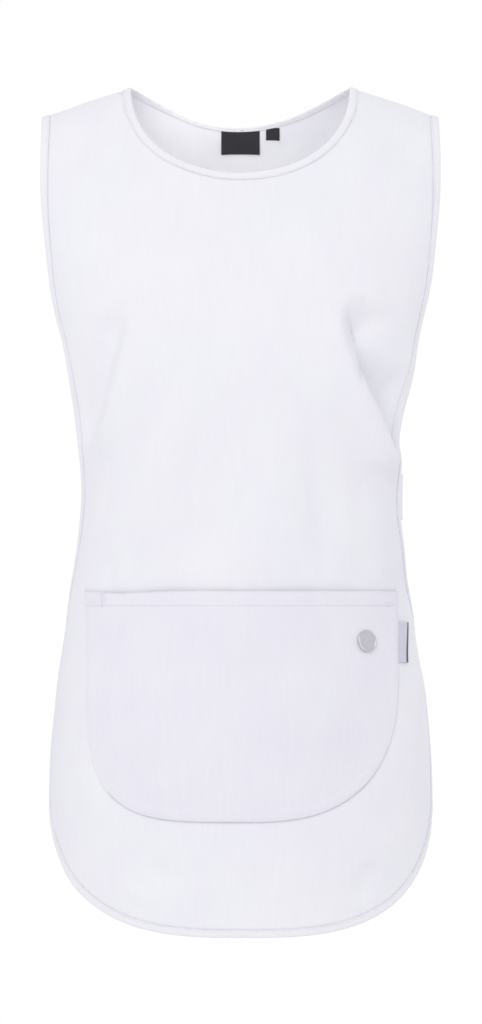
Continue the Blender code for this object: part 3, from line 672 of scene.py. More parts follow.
def woven(name, light, shade, line, wale=TWILL_WALE, lean=0.55, streaks=1.0, puckers=TWILL_PUCKERS):
    """Twill: slanting wales, warp yarns of uneven thickness, puckers beside its seams, and a painted
    shadow line beside its seams, as strong as line says."""
    finish = Finish(name, Sheen_Weight=0.12, Sheen_Roughness=0.5, Specular_IOR_Level=0.25)
    across, down = finish.read("cloth")
    run, away = finish.read("seam")
    slub = finish.noise(across, down, SLUBS, 2.0)
    streak = finish.noise(across, down, STREAKS, 2.0, 4.0)
    mottle = finish.noise(across, down, MOTTLES, 3.0, 9.0)
    yarns = SLUB_SHARE * (slub - 0.5) + STREAK_SHARE * (streak - 0.5)
    share = (0.5 + streaks * yarns + MOTTLE_SHARE * (mottle - 0.5)).held()
    wales = (across + lean * down).wave(wale)
    weave = across.wave(wale * WEAVE_TO_WALE) * down.wave(wale * WEAVE_TO_WALE)
    gather = (run + GATHER_DRIFT * finish.noise(run, away, GATHER_DRIFTS)).wave(GATHER_LENGTH)
    grown = GATHERS_ABOVE + (1 - GATHERS_ABOVE) * (down * -1).step(*GATHERS_GROW)
    close = (away * -GATHER_FADE).exponent() * grown
    height = WALE_HEIGHT * wales + WEAVE_HEIGHT * weave + SLUB_HEIGHT * slub + STREAK_HEIGHT * streak
    height = height + puckers * gather * close
    cool = finish.noise(across, down, CLOUDS, 2.0, 17.0).step(0.35, 0.65)
    lit = finish.blend(cool, light, (light[0] - COOLER, *light[1:]))
    colour = finish.blend(share, shade, lit)
    # painted shade: a darker line beside each seam, coming and going along it
    uneven = (SHADOW_LINE_GAIN * finish.noise(run, 0.0, SHADOW_LINE_CHANGES, 1.0, 5.0) - SHADOW_LINE_LOSS).held()
    painted_shadow_share = line * uneven * (away * -SHADOW_LINE_FADE).exponent()
    colour = finish.blend(painted_shadow_share, colour, PAINTED_SEAM_SHADOW)
    return finish.wear(colour, 0.8 + 0.12 * slub, height)


# line: strength of the painted shadow beside its seams
white_twill = woven(
    "white_twill", light=(0.905, 0.902, 0.915, 1.0), shade=(0.838, 0.832, 0.872, 1.0), line=0.4
)


def piece(name, points, faces, maps, finish, sharp=50.0):
    """A finished mesh object from points in millimetres; maps gives each UV map's values by point."""
    mesh = bpy.data.meshes.new(name)
    mesh.from_pydata((points.reshape(-1, 3) * MM).tolist(), [], faces)
    corners = np.empty(len(mesh.loops), np.int32)
    mesh.loops.foreach_get("vertex_index", corners)
    for map_name, values in maps.items():
        layer = mesh.uv_layers.new(name=map_name)
        layer.data.foreach_set("uv", values.reshape(-1, 2)[corners].astype(np.float32).ravel())
    bm = bmesh.new()
    bm.from_mesh(mesh)
    bmesh.ops.recalc_face_normals(bm, faces=bm.faces)
    bm.to_mesh(mesh)
    bm.free()
    mesh.shade_smooth()
    mesh.set_sharp_from_angle(angle=math.radians(sharp))
    mesh.materials.append(finish)
    made = placed(name, mesh)
    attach(made, "root")
    return made


def quads(index):
    """Faces between the neighbours of a grid of point numbers."""
    around = [index[:-1, :-1], index[:-1, 1:], index[1:, 1:], index[1:, :-1]]
    return np.stack(around, -1).reshape(-1, 4).tolist()


def wall(name, middle, thickness, maps, finish):
    """A thin closed shell round a grid of points: thickness is a number or one for each point."""
    rows, columns = middle.shape[:2]
    normal = unit(np.cross(np.gradient(middle, axis=1), np.gradient(middle, axis=0)))
    half = normal * (np.broadcast_to(thickness, (rows, columns)) / 2)[..., None]
    index = np.arange(rows * columns).reshape(rows, columns)
    rim = np.concatenate([index[0, :-1], index[:-1, -1], index[-1, :0:-1], index[:0:-1, 0]])
    faces = quads(index) + quads(index[:, ::-1] + index.size)
    for a, b in zip(rim.tolist(), np.roll(rim, -1).tolist()):
        faces.append((b, a, a + index.size, b + index.size))
    doubled = {key: np.concatenate([value.reshape(-1, 2)] * 2) for key, value in maps.items()}
    return piece(name, np.stack([middle + half, middle - half]), faces, doubled, finish)


def cloth_map(middle, down):
    """UV in metres: over the cloth from the grid's middle column, and down."""
    steps = np.linalg.norm(np.diff(middle, axis=1), axis=2)
    lengths = np.concatenate([np.zeros((len(middle), 1)), np.cumsum(steps, axis=1)], axis=1)
    across = lengths - lengths[:, [middle.shape[1] // 2]]
    return np.stack(np.broadcast_arrays(across, -down), -1) * MM


def seam_map(points, seams):
    """UV in metres: how far along the nearest seam each point lies, and how far from it."""
    tree = KDTree(sum(len(seam) for seam in seams))
    runs = []
    for seam in seams:
        for point, length in zip(seam, along(seam)):
            tree.insert(point, len(runs))
            runs.append(length)
    tree.balance()
    found = [tree.find(point) for point in points.reshape(-1, 3)]
    values = [(runs[index], distance) for _, index, distance in found]
    return np.array(values).reshape(*points.shape[:-1], 2) * MM


TAPE_WIDTH = 7.0
UNDER_TAPE = 5.2  # the raw edge lies this far in from the bound edge, inside the tape
PANEL_ROWS = 272
NECK_COLUMNS = 46
SHOULDER_COLUMNS = 25
SEAM_CURL = 1.3  # at the shoulder the cloth turns in to its seam allowance
CURLED_ROWS = (1.0, 0.6, 0.25, 0.06)
CURL_GROWS = 3.0
EDGE_SEAM_POINTS = 4200
SHORT_SEAM_POINTS = 1400
PANEL_HALF = 185.0  # mean way over the cloth from the middle to a bound edge
DITCH_DEPTH = 0.6  # the stitches draw the cloth in beside each tape
DITCH_WIDTH = 1.0


def panel_map(places):
    """UV in metres over a panel: across it at its mean width, and down."""
    return places * (PANEL_HALF, -1) * MM


def make_panel(name, panel, seams):
    """A panel's cloth: curled at the shoulder seam, drawn in along its tapes, puckered at seams."""
    size = (UNDER_TAPE, PANEL_ROWS, NECK_COLUMNS, SHOULDER_COLUMNS)
    left, right = [panel.half(hand, *size) for hand in (-1, 1)]
    places = np.concatenate([left[:, :0:-1], right], axis=1)
    middle = panel.cloth(places)
    beyond_neck = smooth_step((np.abs(middle[0, :, 0]) - NECK_HALF_WIDTH) / CURL_GROWS)
    for row, share in enumerate(CURLED_ROWS):
        middle[row] -= panel.normals(places[row]) * (SEAM_CURL * share * beyond_neck)[:, None]
    tape_seams = []
    for outline, side in ((panel.edge(EDGE_SEAM_POINTS), 1), (panel.neck(SHORT_SEAM_POINTS), -1)):
        tape_seams.append(panel.cloth(panel.moved_in(outline, side * TAPE_WIDTH, True, True)))
    away = seam_map(middle, tape_seams)[..., 1] / MM
    ditch = DITCH_DEPTH * bell(away, 0.0, DITCH_WIDTH)
    # seams along which the cloth puckers and gets its painted shadow line
    seams = [*seams, *tape_seams, panel.cloth(places[0])]
    maps = {"cloth": panel_map(places), "seam": seam_map(middle, seams)}
    middle = middle - panel.normals(places) * ditch[..., None]
    return wall(name, middle, TWILL, maps, white_twill)


front = Panel(
    FRONT_LEVELS, FRONT_CREASES, -1, FRONT_NECK_DROP, FRONT_NECK_POWERS, FRONT_HEM, seed=3
)

# The patch pocket's outline belongs here too, because the front puckers along its seam and gets a
# painted shadow line there.
POCKET_TOP = -452.5
POCKET_CORNER_TOP = -516.0
POCKET_BOTTOM = -661.0
POCKET_MIDDLE = 1.5
POCKET_EDGE = {1: 141.5, -1: -138.5}
POCKET_ROUNDNESS = {1: 2.75, -1: 3.9}


def pocket_corner(hand, begin, end):
    """Places round a lower corner of the pocket; 0 is its middle line and 1 its straight side."""
    turn = np.pi / 2 * np.linspace(begin, end, OUTLINE_STEPS)
    powers = (2 / POCKET_ROUNDNESS[hand],) * 2
    width, fall = POCKET_EDGE[hand] - POCKET_MIDDLE, POCKET_BOTTOM - POCKET_CORNER_TOP
    x, z = corner(turn, width, fall, powers)
    return front.seen(POCKET_MIDDLE + x, POCKET_CORNER_TOP + z)


def pocket_side(hand, top, end):
    """Places down one side of the pocket from the height top, and round its corner to end."""
    z = np.linspace(top, POCKET_CORNER_TOP, OUTLINE_STEPS)[:-1]
    return np.vstack([front.seen(POCKET_EDGE[hand], z), pocket_corner(hand, 1.0, end)])


pocket_right = pocket_side(1, POCKET_TOP, 0.0)
pocket_outline = np.vstack([pocket_right, pocket_side(-1, POCKET_TOP, 0.0)[::-1][1:]])
pocket_outline = front.spaced(pocket_outline, np.linspace(0, 1, SHORT_SEAM_POINTS))

front_cloth = make_panel("front", front, [front.cloth(pocket_outline)])
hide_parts("front_panel")


# ---------------- back
# Cut in one from the same twill, with a shallower neck. It follows the front's shoulders, hollows
# at the waist and falls in long soft folds over the seat.

BACK_NECK_DROP = 33.0
BACK_NECK_POWERS = (1.0, 2.4)
BACK_HEM = (160.0, -761.0)
BACK_LEVELS = [
    (10, 46, 207, 2.2, 177, 0),
    (-27, 54, 207, 2.2, 178.6, 0),
    (-60, 72, 204, 2.3, 179.3, 0),
    (-100, 88, 198, 2.4, 178.3, 0),
    (-150, 99, 188, 2.4, 173, 0),
    (-200, 101, 177, 2.4, 164.5, 0),
    (-250, 98, 166, 2.3, 152.5, 0),
    (-300, 94, 156, 2.3, 143, 0),
    (-350, 91, 150, 2.2, 138.5, 0),
    (-390, 92, 150, 2.2, 138.5, 0),
    (-436, 97, 153, 2.2, 143, 0),
    (-480, 103, 158, 2.2, 149, 0),
    (-530, 109, 163, 2.2, 153.5, 0),
    (-580, 114, 167, 2.2, 157, 0),
    (-625, 116, 169, 2.2, 159, 0),
    (-650, 117, 169.5, 2.2, 159.5, 0),
    (-775, 118, 170, 2.2, 160, 0),
]
BACK_CREASES = [
    # shoulder blades to waist
    (94, -176, 136, -348, 2, 12, -4.6, -0.2, 0.25, 0.3),
    (78, -172, 120, -352, 1, 14, 3.2, 0.15, 0.3, 0.35),
    (118, -262, 142, -372, 0, 7, 1.3, 0, 0.4, 0.4),
    (-90, -168, -132, -344, -2, 13, -4, 0.15, 0.3, 0.3),
    (-74, -176, -112, -360, 0, 14, 3, 0, 0.3, 0.35),
    (-116, -286, -136, -384, 0, 7, -1.2, 0, 0.4, 0.4),
    # hollow of the back
    (-30, -150, -36, -470, 3, 17, -2.8, 0, 0.35, 0.45),
    (24, -190, 30, -520, -2, 16, 2.6, 0, 0.4, 0.45),
    (-8, -300, 2, -430, 0, 8, 0.8, 0, 0.45, 0.45),
    (62, -300, 74, -468, 1, 9, -1.2, 0, 0.4, 0.45),
    (-66, -352, -70, -470, 0, 8, -1, 0, 0.4, 0.45),
    (-54, -372, -18, -388, -2, 6, -0.9, 0, 0.4, 0.45),
    (10, -362, 52, -380, 2, 6.5, -0.8, 0, 0.4, 0.45),
    (-40, -394, 4, -404, -1.5, 5.5, 0.6, 0, 0.4, 0.45),
    # over the seat and down to the hem
    (-84, -470, -96, -745, 3, 19, 3.4, 0, 0.5, 0.2),
    (-108, -540, -118, -728, 0, 9, -1.2, 0, 0.45, 0.25),
    (-30, -520, -34, -752, -2, 18, -2.8, 0, 0.5, 0.2),
    (8, -600, 6, -752, 0, 12, 1.4, 0, 0.5, 0.2),
    (46, -500, 58, -750, 2, 20, -3.2, 0, 0.5, 0.2),
    (100, -480, 110, -735, 0, 17, 3, 0, 0.5, 0.2),
    (126, -560, 134, -690, 0, 8, -1, 0, 0.45, 0.35),
    # under the shoulders
    (164, -48, 122, -76, 0, 11, -1.6, 0, 0.35, 0.5),
    (-166, -46, -122, -80, 0, 12, -1.8, 0, 0.35, 0.5),
    (-40, -44, -58, -92, 0, 9, -0.7, 0, 0.3, 0.6),
    (46, -44, 60, -96, 0, 9, -0.8, 0, 0.3, 0.6),
]

back = Panel(BACK_LEVELS, BACK_CREASES, 1, BACK_NECK_DROP, BACK_NECK_POWERS, BACK_HEM, seed=8)
back_cloth = make_panel("back", back, [])
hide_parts("back_panel")


# ---------------- bound edges
# A folded tape of the same white cloth takes in every raw edge: one run round the neck, one round
# the front's sides and hem, one round the back's. A single row of stitches goes through it.

white_tape = woven(
    "white_tape",
    light=(0.915, 0.912, 0.922, 1.0),
    shade=(0.852, 0.847, 0.880, 1.0),
    # line: a painted shadow along both sewn edges of the tape
    line=0.18,
    wale=0.0007,
    lean=1.4,
    streaks=0.6,
    puckers=0.0,
)
TAPE_STITCH_IN = 5.7
TAPE_STITCH_LIFT = 0.66
# Outer side of the folded tape, from its sewn edge to its fold: (distance in, lift off the middle)
TAPE_SIDE = [
    (7.05, 0.32), (6.95, 0.66), (6.45, 0.84), (TAPE_STITCH_IN, TAPE_STITCH_LIFT), (5.0, 0.90),
    (3.6, 1.04), (1.9, 1.02), (0.85, 0.84), (0.22, 0.48), (0.0, 0.0),
]
TAPE_PROFILE = TAPE_SIDE + [(inset, -lift) for inset, lift in TAPE_SIDE[-2::-1]]
PUCKER_LENGTHS = (5.2, 7.9, 13.0)
PUCKER_HEIGHT = 0.07
HEM_PUCKERS_TOP = -640.0  # below this the tape puckers more
HEM_PUCKERS_RUN = 60.0
HEM_PUCKER_HEIGHT = 0.09
EDGE_WANDER = 0.22
WANDER_LENGTHS = (31.0, 12.7)  # each a wave's length over 2 pi
TAPE_CALM = 8.0  # near a shoulder seam the tape lies even
EDGE_POINTS = 1300
NECK_POINTS = 440


def tube(name, loops, maps, finish, ring=False):
    """A closed skin over a row of closed cross-sections, capped at both ends or joined in a ring."""
    index = np.arange(loops.shape[0] * loops.shape[1]).reshape(loops.shape[:2])
    index = np.concatenate([index, index[:, :1]], axis=1)
    if ring:
        return piece(name, loops, quads(np.vstack([index, index[:1]])), maps, finish)
    caps = [index[0, :-1].tolist(), index[-1, :-1].tolist()]
    return piece(name, loops, quads(index) + caps, maps, finish)


def tape_loops(panel, outline, side, phase):
    """Cross-sections of the tape along an outline of places; side is 1 where the cloth lies to the
    right of the outline's direction, and -1 where it lies to the left."""
    way = along(panel.form(outline))
    calm = smooth_step(np.minimum(way, way[-1] - way) / TAPE_CALM)
    pucker = calm * sum(np.sin(2 * np.pi * way / step + phase * step) for step in PUCKER_LENGTHS)
    first, second = WANDER_LENGTHS
    wander = calm * EDGE_WANDER * np.sin(way / first + phase) * np.sin(way / second)
    loops = []
    for inset, lift in TAPE_PROFILE:
        sewn = inset / TAPE_WIDTH
        places = panel.moved_in(outline, side * (inset + wander * sewn), True, True)
        low = smooth_step((HEM_PUCKERS_TOP - panel.form(places)[:, 2]) / HEM_PUCKERS_RUN)
        ripple = (PUCKER_HEIGHT + HEM_PUCKER_HEIGHT * low) * pucker * sewn * math.copysign(1.0, lift)
        loops.append(panel.cloth(places, lift + ripple))
    return np.stack(loops, axis=1)


def tape_maps(loops, ring=False):
    """UV in metres: round the tape's cross-section and along it; and along it and from its sewn edge."""
    way = along(loops[:, 0])[:, None]
    if ring:
        way = np.minimum(way, way[-1] - way)
    turn = along(loops[0])[None, :]
    from_sewn = np.minimum(turn, turn[:, -1:] - turn)
    cloth = np.stack(np.broadcast_arrays(turn, way), -1) * MM
    return {"cloth": cloth, "seam": np.stack(np.broadcast_arrays(way, from_sewn), -1) * MM}


neck_loops = np.concatenate([
    tape_loops(front, front.neck(NECK_POINTS), -1, 0.3),
    tape_loops(back, back.neck(NECK_POINTS), -1, 1.9)[-2:0:-1],
])
neck_tape = tube("neck_tape", neck_loops, tape_maps(neck_loops, True), white_tape, ring=True)
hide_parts("neck_binding")

for panel, name, node, phase in (
    (front, "front_edge_tape", "edge_binding_front", 0.7),
    (back, "back_edge_tape", "edge_binding_back", 2.6),
):
    loops = tape_loops(panel, panel.edge(EDGE_POINTS), 1, phase)
    tape = tube(name, loops, tape_maps(loops), white_tape)
    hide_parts(node)


# ---------------- sewing on the tapes
# White polyester thread, three to four stitches a centimetre, in one row along each tape. Each stitch
# is a short bead of twisted thread whose ends dip into the cloth.

STITCH_PITCH = 2.9
STITCH_LENGTH = 2.35
THREAD_WIDTH = 0.42
THREAD_HEIGHT = 0.34
PLY_TURNS = 3.5  # twists of the thread in one stitch
PLY_HEIGHT = 0.00004  # metres
STITCH_LEAN = 0.06  # radians by which a stitch may lie askew

thread = Finish("white_thread", Sheen_Weight=0.05, Specular_IOR_Level=0.5)
ply_place = thread.node("ShaderNodeAttribute", {"attribute_name": "ply"}, None, 1)
ply_x, ply_y, ply_z = thread.split(ply_place)
ply_turn = ply_x.reckon("ARCTAN2", ply_y, ply_x) * (1 / (2 * math.pi)) + ply_z * PLY_TURNS
ply = ply_turn.wave(1.0)
# The twist's wave dents the thread and paints it darker in the dents: the darker colour is painted
# shade.
white_thread = thread.wear(
    thread.blend(ply, (0.80, 0.80, 0.84, 1.0), (0.89, 0.89, 0.92, 1.0)),
    0.45 + 0.1 * ply,
    PLY_HEIGHT * ply,
)


def sewing_tree():
    """Stitches along every line of the mesh; the lines carry the cloth's outward direction."""
    tree = bpy.data.node_groups.new("sewing", "GeometryNodeTree")
    sizes = dict.fromkeys(("Pitch", "Stitch length", "Thread width", "Thread height", "Lean"), "Float")
    sizes.update({"Seed": "Int", "Thread": "Material"})
    tree.interface.new_socket("Geometry", in_out="OUTPUT", socket_type="NodeSocketGeometry")
    for name, kind in {"Geometry": "Geometry", **sizes}.items():
        tree.interface.new_socket(name, in_out="INPUT", socket_type="NodeSocket" + kind)
    nodes = NodeTree(tree)
    add = nodes.node
    inputs = add("NodeGroupInput").socket.node.outputs
    given = {name: Value(nodes, inputs[name]) for name in ("Geometry", *sizes)}
    vectors = {"data_type": "FLOAT_VECTOR"}
    lines = add("GeometryNodeMeshToCurve", None, {"Mesh": given["Geometry"]})
    spacing = {"Curve": lines, "Length": given["Pitch"]}
    spots = add("GeometryNodeCurveToPoints", {"mode": "LENGTH"}, spacing)
    tangent = Value(nodes, spots.socket.node.outputs["Tangent"])
    outward = add("GeometryNodeInputNamedAttribute", vectors, {"Name": "outward"})
    forward = add("FunctionNodeAlignRotationToVector", {"axis": "X"}, {"Vector": tangent})
    upright = add(
        "FunctionNodeAlignRotationToVector",
        {"axis": "Z", "pivot_axis": "X"},
        {"Rotation": forward, "Vector": outward},
    )
    most = add("ShaderNodeCombineXYZ", None, {"Z": given["Lean"]})
    least = add("ShaderNodeCombineXYZ", None, {"Z": -1 * given["Lean"]})
    lean = add("FunctionNodeRandomValue", vectors, {0: least, 1: most, "Seed": given["Seed"]})
    turned = add("FunctionNodeRotateRotation", {"rotation_space": "LOCAL"}, {0: upright, 1: lean})
    bead = add("GeometryNodeMeshUVSphere", None, {"Segments": 6, "Rings": 4, "Radius": 0.5})
    place = add("GeometryNodeInputPosition")
    mark = {"Geometry": bead, "Name": "ply", "Value": place}
    marked = add("GeometryNodeStoreNamedAttribute", {**vectors, "domain": "POINT"}, mark)
    size = dict(zip("XYZ", [given[name] for name in ("Thread height", "Thread width", "Stitch length")]))
    scale = add("ShaderNodeCombineXYZ", None, size)
    lying = {"Geometry": marked, "Rotation": (0, math.radians(90), 0), "Scale": scale}
    shaped = add("GeometryNodeTransform", None, lying)
    spread = {"Points": spots, "Instance": shaped, "Rotation": turned}
    beads = add("GeometryNodeInstanceOnPoints", None, spread)
    joined = add("GeometryNodeRealizeInstances", None, {"Geometry": beads})
    smooth = add("GeometryNodeSetShadeSmooth", None, {"Geometry": joined})
    dyed = add("GeometryNodeSetMaterial", None, {"Geometry": smooth, "Material": given["Thread"]})
    end = tree.nodes.new("NodeGroupOutput")
    nodes.join(dyed, end.inputs["Geometry"])
    return tree


sewing = sewing_tree()


def sew(name, rows, seed, pitch=STITCH_PITCH, length=STITCH_LENGTH):
    """One piece of stitches from rows of (points, outward directions), in millimetres."""
    mesh = bpy.data.meshes.new(name)
    points = np.concatenate([points for points, _ in rows])
    outward = np.concatenate([outward for _, outward in rows])
    edges = []
    start = 0
    for line, _ in rows:
        edges += [(start + i, start + i + 1) for i in range(len(line) - 1)]
        start += len(line)
    mesh.from_pydata((points * MM).tolist(), edges, [])
    held = mesh.attributes.new("outward", "FLOAT_VECTOR", "POINT")
    held.data.foreach_set("vector", outward.astype(np.float32).ravel())
    made = placed(name, mesh)
    modifier = made.modifiers.new("sewing", "NODES")
    modifier.node_group = sewing
    sizes = {
        "Pitch": pitch * MM,
        "Stitch length": length * MM,
        "Thread width": THREAD_WIDTH * MM,
        "Thread height": THREAD_HEIGHT * MM,
        "Lean": STITCH_LEAN,
        "Seed": seed,
        "Thread": white_thread,
    }
    for item in sewing.interface.items_tree:
        if item.in_out == "INPUT" and item.name in sizes:
            modifier[item.identifier] = sizes[item.name]
    ready = made.evaluated_get(bpy.context.evaluated_depsgraph_get())
    sewn = bpy.data.meshes.new_from_object(ready)
    made.modifiers.remove(modifier)
    made.data = sewn
    sewn.name = name
    bpy.data.meshes.remove(mesh)
    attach(made, "root")
    return made


def tape_rows(panel, outline, side):
    """A tape's stitches: a row on its outside, and one on its inside."""
    places = panel.moved_in(outline, side * TAPE_STITCH_IN, True, True)
    lift = TAPE_STITCH_LIFT + THREAD_HEIGHT / 4
    return [(panel.cloth(places, out * lift), panel.normals(places) * out) for out in (1, -1)]


neck_rows = tape_rows(front, front.neck(NECK_POINTS), -1) + tape_rows(back, back.neck(NECK_POINTS), -1)
neck_sewing = sew("neck_sewing", neck_rows, seed=2)
front_sewing = sew("front_edge_sewing", tape_rows(front, front.edge(EDGE_POINTS), 1), seed=3)
back_sewing = sew("back_edge_sewing", tape_rows(back, back.edge(EDGE_POINTS), 1), seed=4)


# ---------------- patch pocket
# One wide pocket of the same twill. Its mouth is hemmed and stands off the front; its other edges
# are turned in and sewn down close to the fold. A bar of stitches at the left parts off a pen place.

POCKET_GAPE = 3.6  # how far the mouth stands off the front
POCKET_CALM = 0.45  # share by which it stands off less at its middle
POCKET_CALM_WIDTH = 0.13
POCKET_SWELL = 0.8  # power of the gape's bow from side to side; less is fuller
POCKET_CLOSING = 1.15  # power by which it closes from the mouth to the bottom
POCKET_HEM = 13.0
POCKET_HEM_WALL = 1.5
POCKET_TURNING = 8.0  # width of the turned-in edge
POCKET_EDGE_WALL = 1.3
POCKET_LEFT_WALL = 0.75  # the left edge is pressed flatter
POCKET_LEFT_RUN = 70.0
TURNING_ENDS = 2.0  # runs over which the turned-in edge and the hem thin out
HEM_ENDS = 1.0
EDGE_ROUND = 0.8  # the walls thin to EDGE_SHARE over this run at their edges
EDGE_SHARE = 0.65
POCKET_SEAT = 0.15
LEAST_OFF = 0.4  # no crease presses the pocket into the front
POCKET_SEAM_IN = 2.0
HEM_STITCH_ROWS = (-463.9, -465.8)
PEN_BAR_X = -122.0
RIGHT_AND_BOTTOM = 0.7  # share of the sewn outline that lies on the right and at the bottom
STITCH_SINK = 0.16
STITCH_DIP = 0.30
SEAM_DIP_WIDTH = 0.7
HEM_DIP_WIDTH = 0.6
BAR_DIP = 3.6  # the pen bar draws the hem in this many times as deep, a little to its right
BAR_DIP_WIDTH = 0.5
BAR_DIP_ASIDE = 0.9
BAR_ENDS = 0.6
BAR_ROWS = (-0.9, -0.1)
BAR_POINTS = 24
HEM_ROW_POINTS = 160
POCKET_ROWS = 118
POCKET_COLUMNS = 46
MOUTH_SAG = 1.9
MOUTH_SAG_X = -104.0  # the mouth sags most here
MOUTH_SAG_RUN = 24.0
POCKET_CREASES = [
    (-76, -640, -70, -657, 0, 3.5, -0.5, 0, 0.4, 0.2),
    (-62, -644, -58, -659, 0, 3.2, -0.5, 0, 0.4, 0.2),
    (-48, -646, -46, -660, 0, 3.2, 0.4, 0, 0.4, 0.2),
    (-92, -632, -80, -652, 0, 4, -0.5, 0, 0.4, 0.25),
    (134, -498, 142, -520, 0, 3.6, -0.6, 0, 0.4, 0.3),
    (-112, -520, -118, -640, 0, 8, 1.8, 0, 0.4, 0.4),
    (-78, -480, -92, -640, 4, 17, 2.2, 0, 0.4, 0.4),
    (-30, -486, -38, -644, 0, 16, 1.5, 0, 0.4, 0.4),
    (60, -476, 74, -640, -3, 20, 2, 0, 0.4, 0.4),
    (24, -490, 18, -632, 0, 12, -1, 0, 0.4, 0.4),
]


def pocket_stand_off(x, z):
    """How far the pocket stands off the front: nothing at its sewn edges, most at its mouth."""
    across = np.clip((x - POCKET_EDGE[-1]) / (POCKET_EDGE[1] - POCKET_EDGE[-1]), 0.0, 1.0)
    down = (POCKET_TOP - z) / (POCKET_TOP - POCKET_BOTTOM)
    swell = np.maximum(0.0, np.sin(np.pi * across)) ** POCKET_SWELL
    swell = swell * (1 - POCKET_CALM * bell(across, 0.5, POCKET_CALM_WIDTH))
    return POCKET_GAPE * swell * np.maximum(0.0, 1 - down) ** POCKET_CLOSING


pocket_tree = KDTree(len(pocket_outline))
for number, point in enumerate(front.form(pocket_outline)):
    pocket_tree.insert(point, number)
pocket_tree.balance()


def pocket_wall(places):
    """Thickness: thicker in the hem and the turned-in edges, drawn thin along the stitches."""
    base = front.form(places)
    from_edge = [pocket_tree.find(point)[2] for point in base.reshape(-1, 3)]
    from_edge = np.array(from_edge).reshape(base.shape[:-1])
    below = POCKET_TOP - base[..., 2]
    hem = (POCKET_HEM_WALL - TWILL) * (1 - smooth_step((below - POCKET_HEM) / HEM_ENDS))
    from_left = smooth_step((base[..., 0] - POCKET_EDGE[-1]) / POCKET_LEFT_RUN)
    edge_wall = POCKET_LEFT_WALL + (POCKET_EDGE_WALL - POCKET_LEFT_WALL) * from_left
    inside = smooth_step((from_edge - POCKET_TURNING) / TURNING_ENDS)
    turning = (edge_wall - TWILL) * (1 - inside)
    dips = bell(from_edge, POCKET_SEAM_IN, SEAM_DIP_WIDTH)
    for z in HEM_STITCH_ROWS:
        dips = np.maximum(dips, bell(base[..., 2], z, HEM_DIP_WIDTH))
    in_hem = 1 - smooth_step((below - POCKET_HEM) / BAR_ENDS)
    bar = BAR_DIP * in_hem * bell(base[..., 0], PEN_BAR_X + BAR_DIP_ASIDE, BAR_DIP_WIDTH)
    dips = np.maximum(dips, bar)
    rounded = EDGE_SHARE + (1 - EDGE_SHARE) * smooth_step(np.minimum(from_edge, below) / EDGE_ROUND)
    return (TWILL + np.maximum(hem, turning) - STITCH_DIP * dips) * rounded


def pocket_lift(places, wall_share):
    """How far off the front's middle the pocket lies: wall_share is 0 inside and 1 outside."""
    base = front.form(places)
    x, z = base[..., 0], base[..., 2]
    off = pocket_stand_off(x, z) + crease_lift(POCKET_CREASES, x, z)
    off = (off + np.hypot(off, LEAST_OFF)) / 2
    return TWILL / 2 + POCKET_SEAT + off + pocket_wall(places) * wall_share


# The grid is fine at these distances below the mouth, at these from the sewn edges, and at these from
# the pen bar and from the line that lies as far in on the right
HEM_STEPS = (0.0, 0.4, 0.9, 2.2, 4.2, 6.6, 9.0, 10.4, 11.0, 11.4, 11.9, 12.4, 12.9, 13.3, 13.9, 14.8)
SEWN_STEPS = (0.0, 0.35, 0.8, 1.2, 1.6, 2.0, 2.4, 2.9, 3.8, 5.4, 7.4, 9.0, 10.6)
BAR_STEPS = (-3.0, -1.8, -1.2, -0.8, -0.4, 0.0, 0.4, 0.8, 1.2, 1.8, 3.0)


def pocket_half(hand):
    """Grid of places of one half of the pocket, from its middle line to its edge."""
    side = pocket_side(hand, POCKET_TOP, 0.5)
    rows = crowded(along(front.form(side))[-1], POCKET_ROWS, HEM_STEPS, SEWN_STEPS)
    x = np.linspace(POCKET_MIDDLE, POCKET_EDGE[hand], OUTLINE_STEPS)
    mouth = front.seen(x, POCKET_TOP - MOUTH_SAG * bell(x, MOUTH_SAG_X, MOUTH_SAG_RUN))
    way = along(front.form(mouth))
    bar_x = POCKET_EDGE[hand] - hand * (PEN_BAR_X - POCKET_EDGE[-1])
    bar_in = way[-1] - np.interp(bar_x * hand, x * hand, way)
    steps = (*SEWN_STEPS, *(bar_in + step for step in BAR_STEPS))
    columns = crowded(way[-1], POCKET_COLUMNS, (0.0,), steps)
    bottom = front.spaced(pocket_corner(hand, 0.0, 0.5), columns)
    side = front.spaced(side, rows)
    side[-1] = bottom[-1]
    side[0] = mouth[-1]
    top = front.spaced(mouth, columns)
    middle = top[0] + (bottom[0] - top[0]) * rows[:, None]
    return filled(middle, side, top, bottom, rows, columns)


# The same twill in darker tints than the front's: painted shade, with a strong painted shadow line along
# the seams in pocket_lines.
pocket_twill_painted_shade = woven(
    "pocket_twill_painted_shade", light=(0.875, 0.866, 0.893, 1.0), shade=(0.800, 0.788, 0.848, 1.0), line=0.75
)
pocket_places = np.concatenate([pocket_half(-1)[:, :0:-1], pocket_half(1)], axis=1)
pocket_middle = front.cloth(pocket_places, pocket_lift(pocket_places, 0.5))
pocket_seam = front.moved_in(pocket_outline, POCKET_SEAM_IN)
bar_z = np.linspace(POCKET_TOP - 1.0, HEM_STITCH_ROWS[-1] - BAR_ENDS, BAR_POINTS)
pocket_lines = [  # lines that get puckers and the painted shadow line: its edges but the left one, which is pressed flat, and the pen bar
    pocket_outline[: int(len(pocket_outline) * RIGHT_AND_BOTTOM)],
    pocket_places[0],
    front.seen(PEN_BAR_X + sum(BAR_ROWS) / 2, bar_z),
]
pocket_seams = [front.cloth(line, pocket_lift(line, 0.5)) for line in pocket_lines]
pocket_maps = {"cloth": panel_map(pocket_places), "seam": seam_map(pocket_middle, pocket_seams)}
pocket = wall("pocket_patch", pocket_middle, pocket_wall(pocket_places), pocket_maps, pocket_twill_painted_shade)
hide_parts("pocket")


def pocket_row(places):
    """A row of stitches on the pocket."""
    return front.cloth(places, pocket_lift(places, 1.0) - STITCH_SINK / 2), front.normals(places)


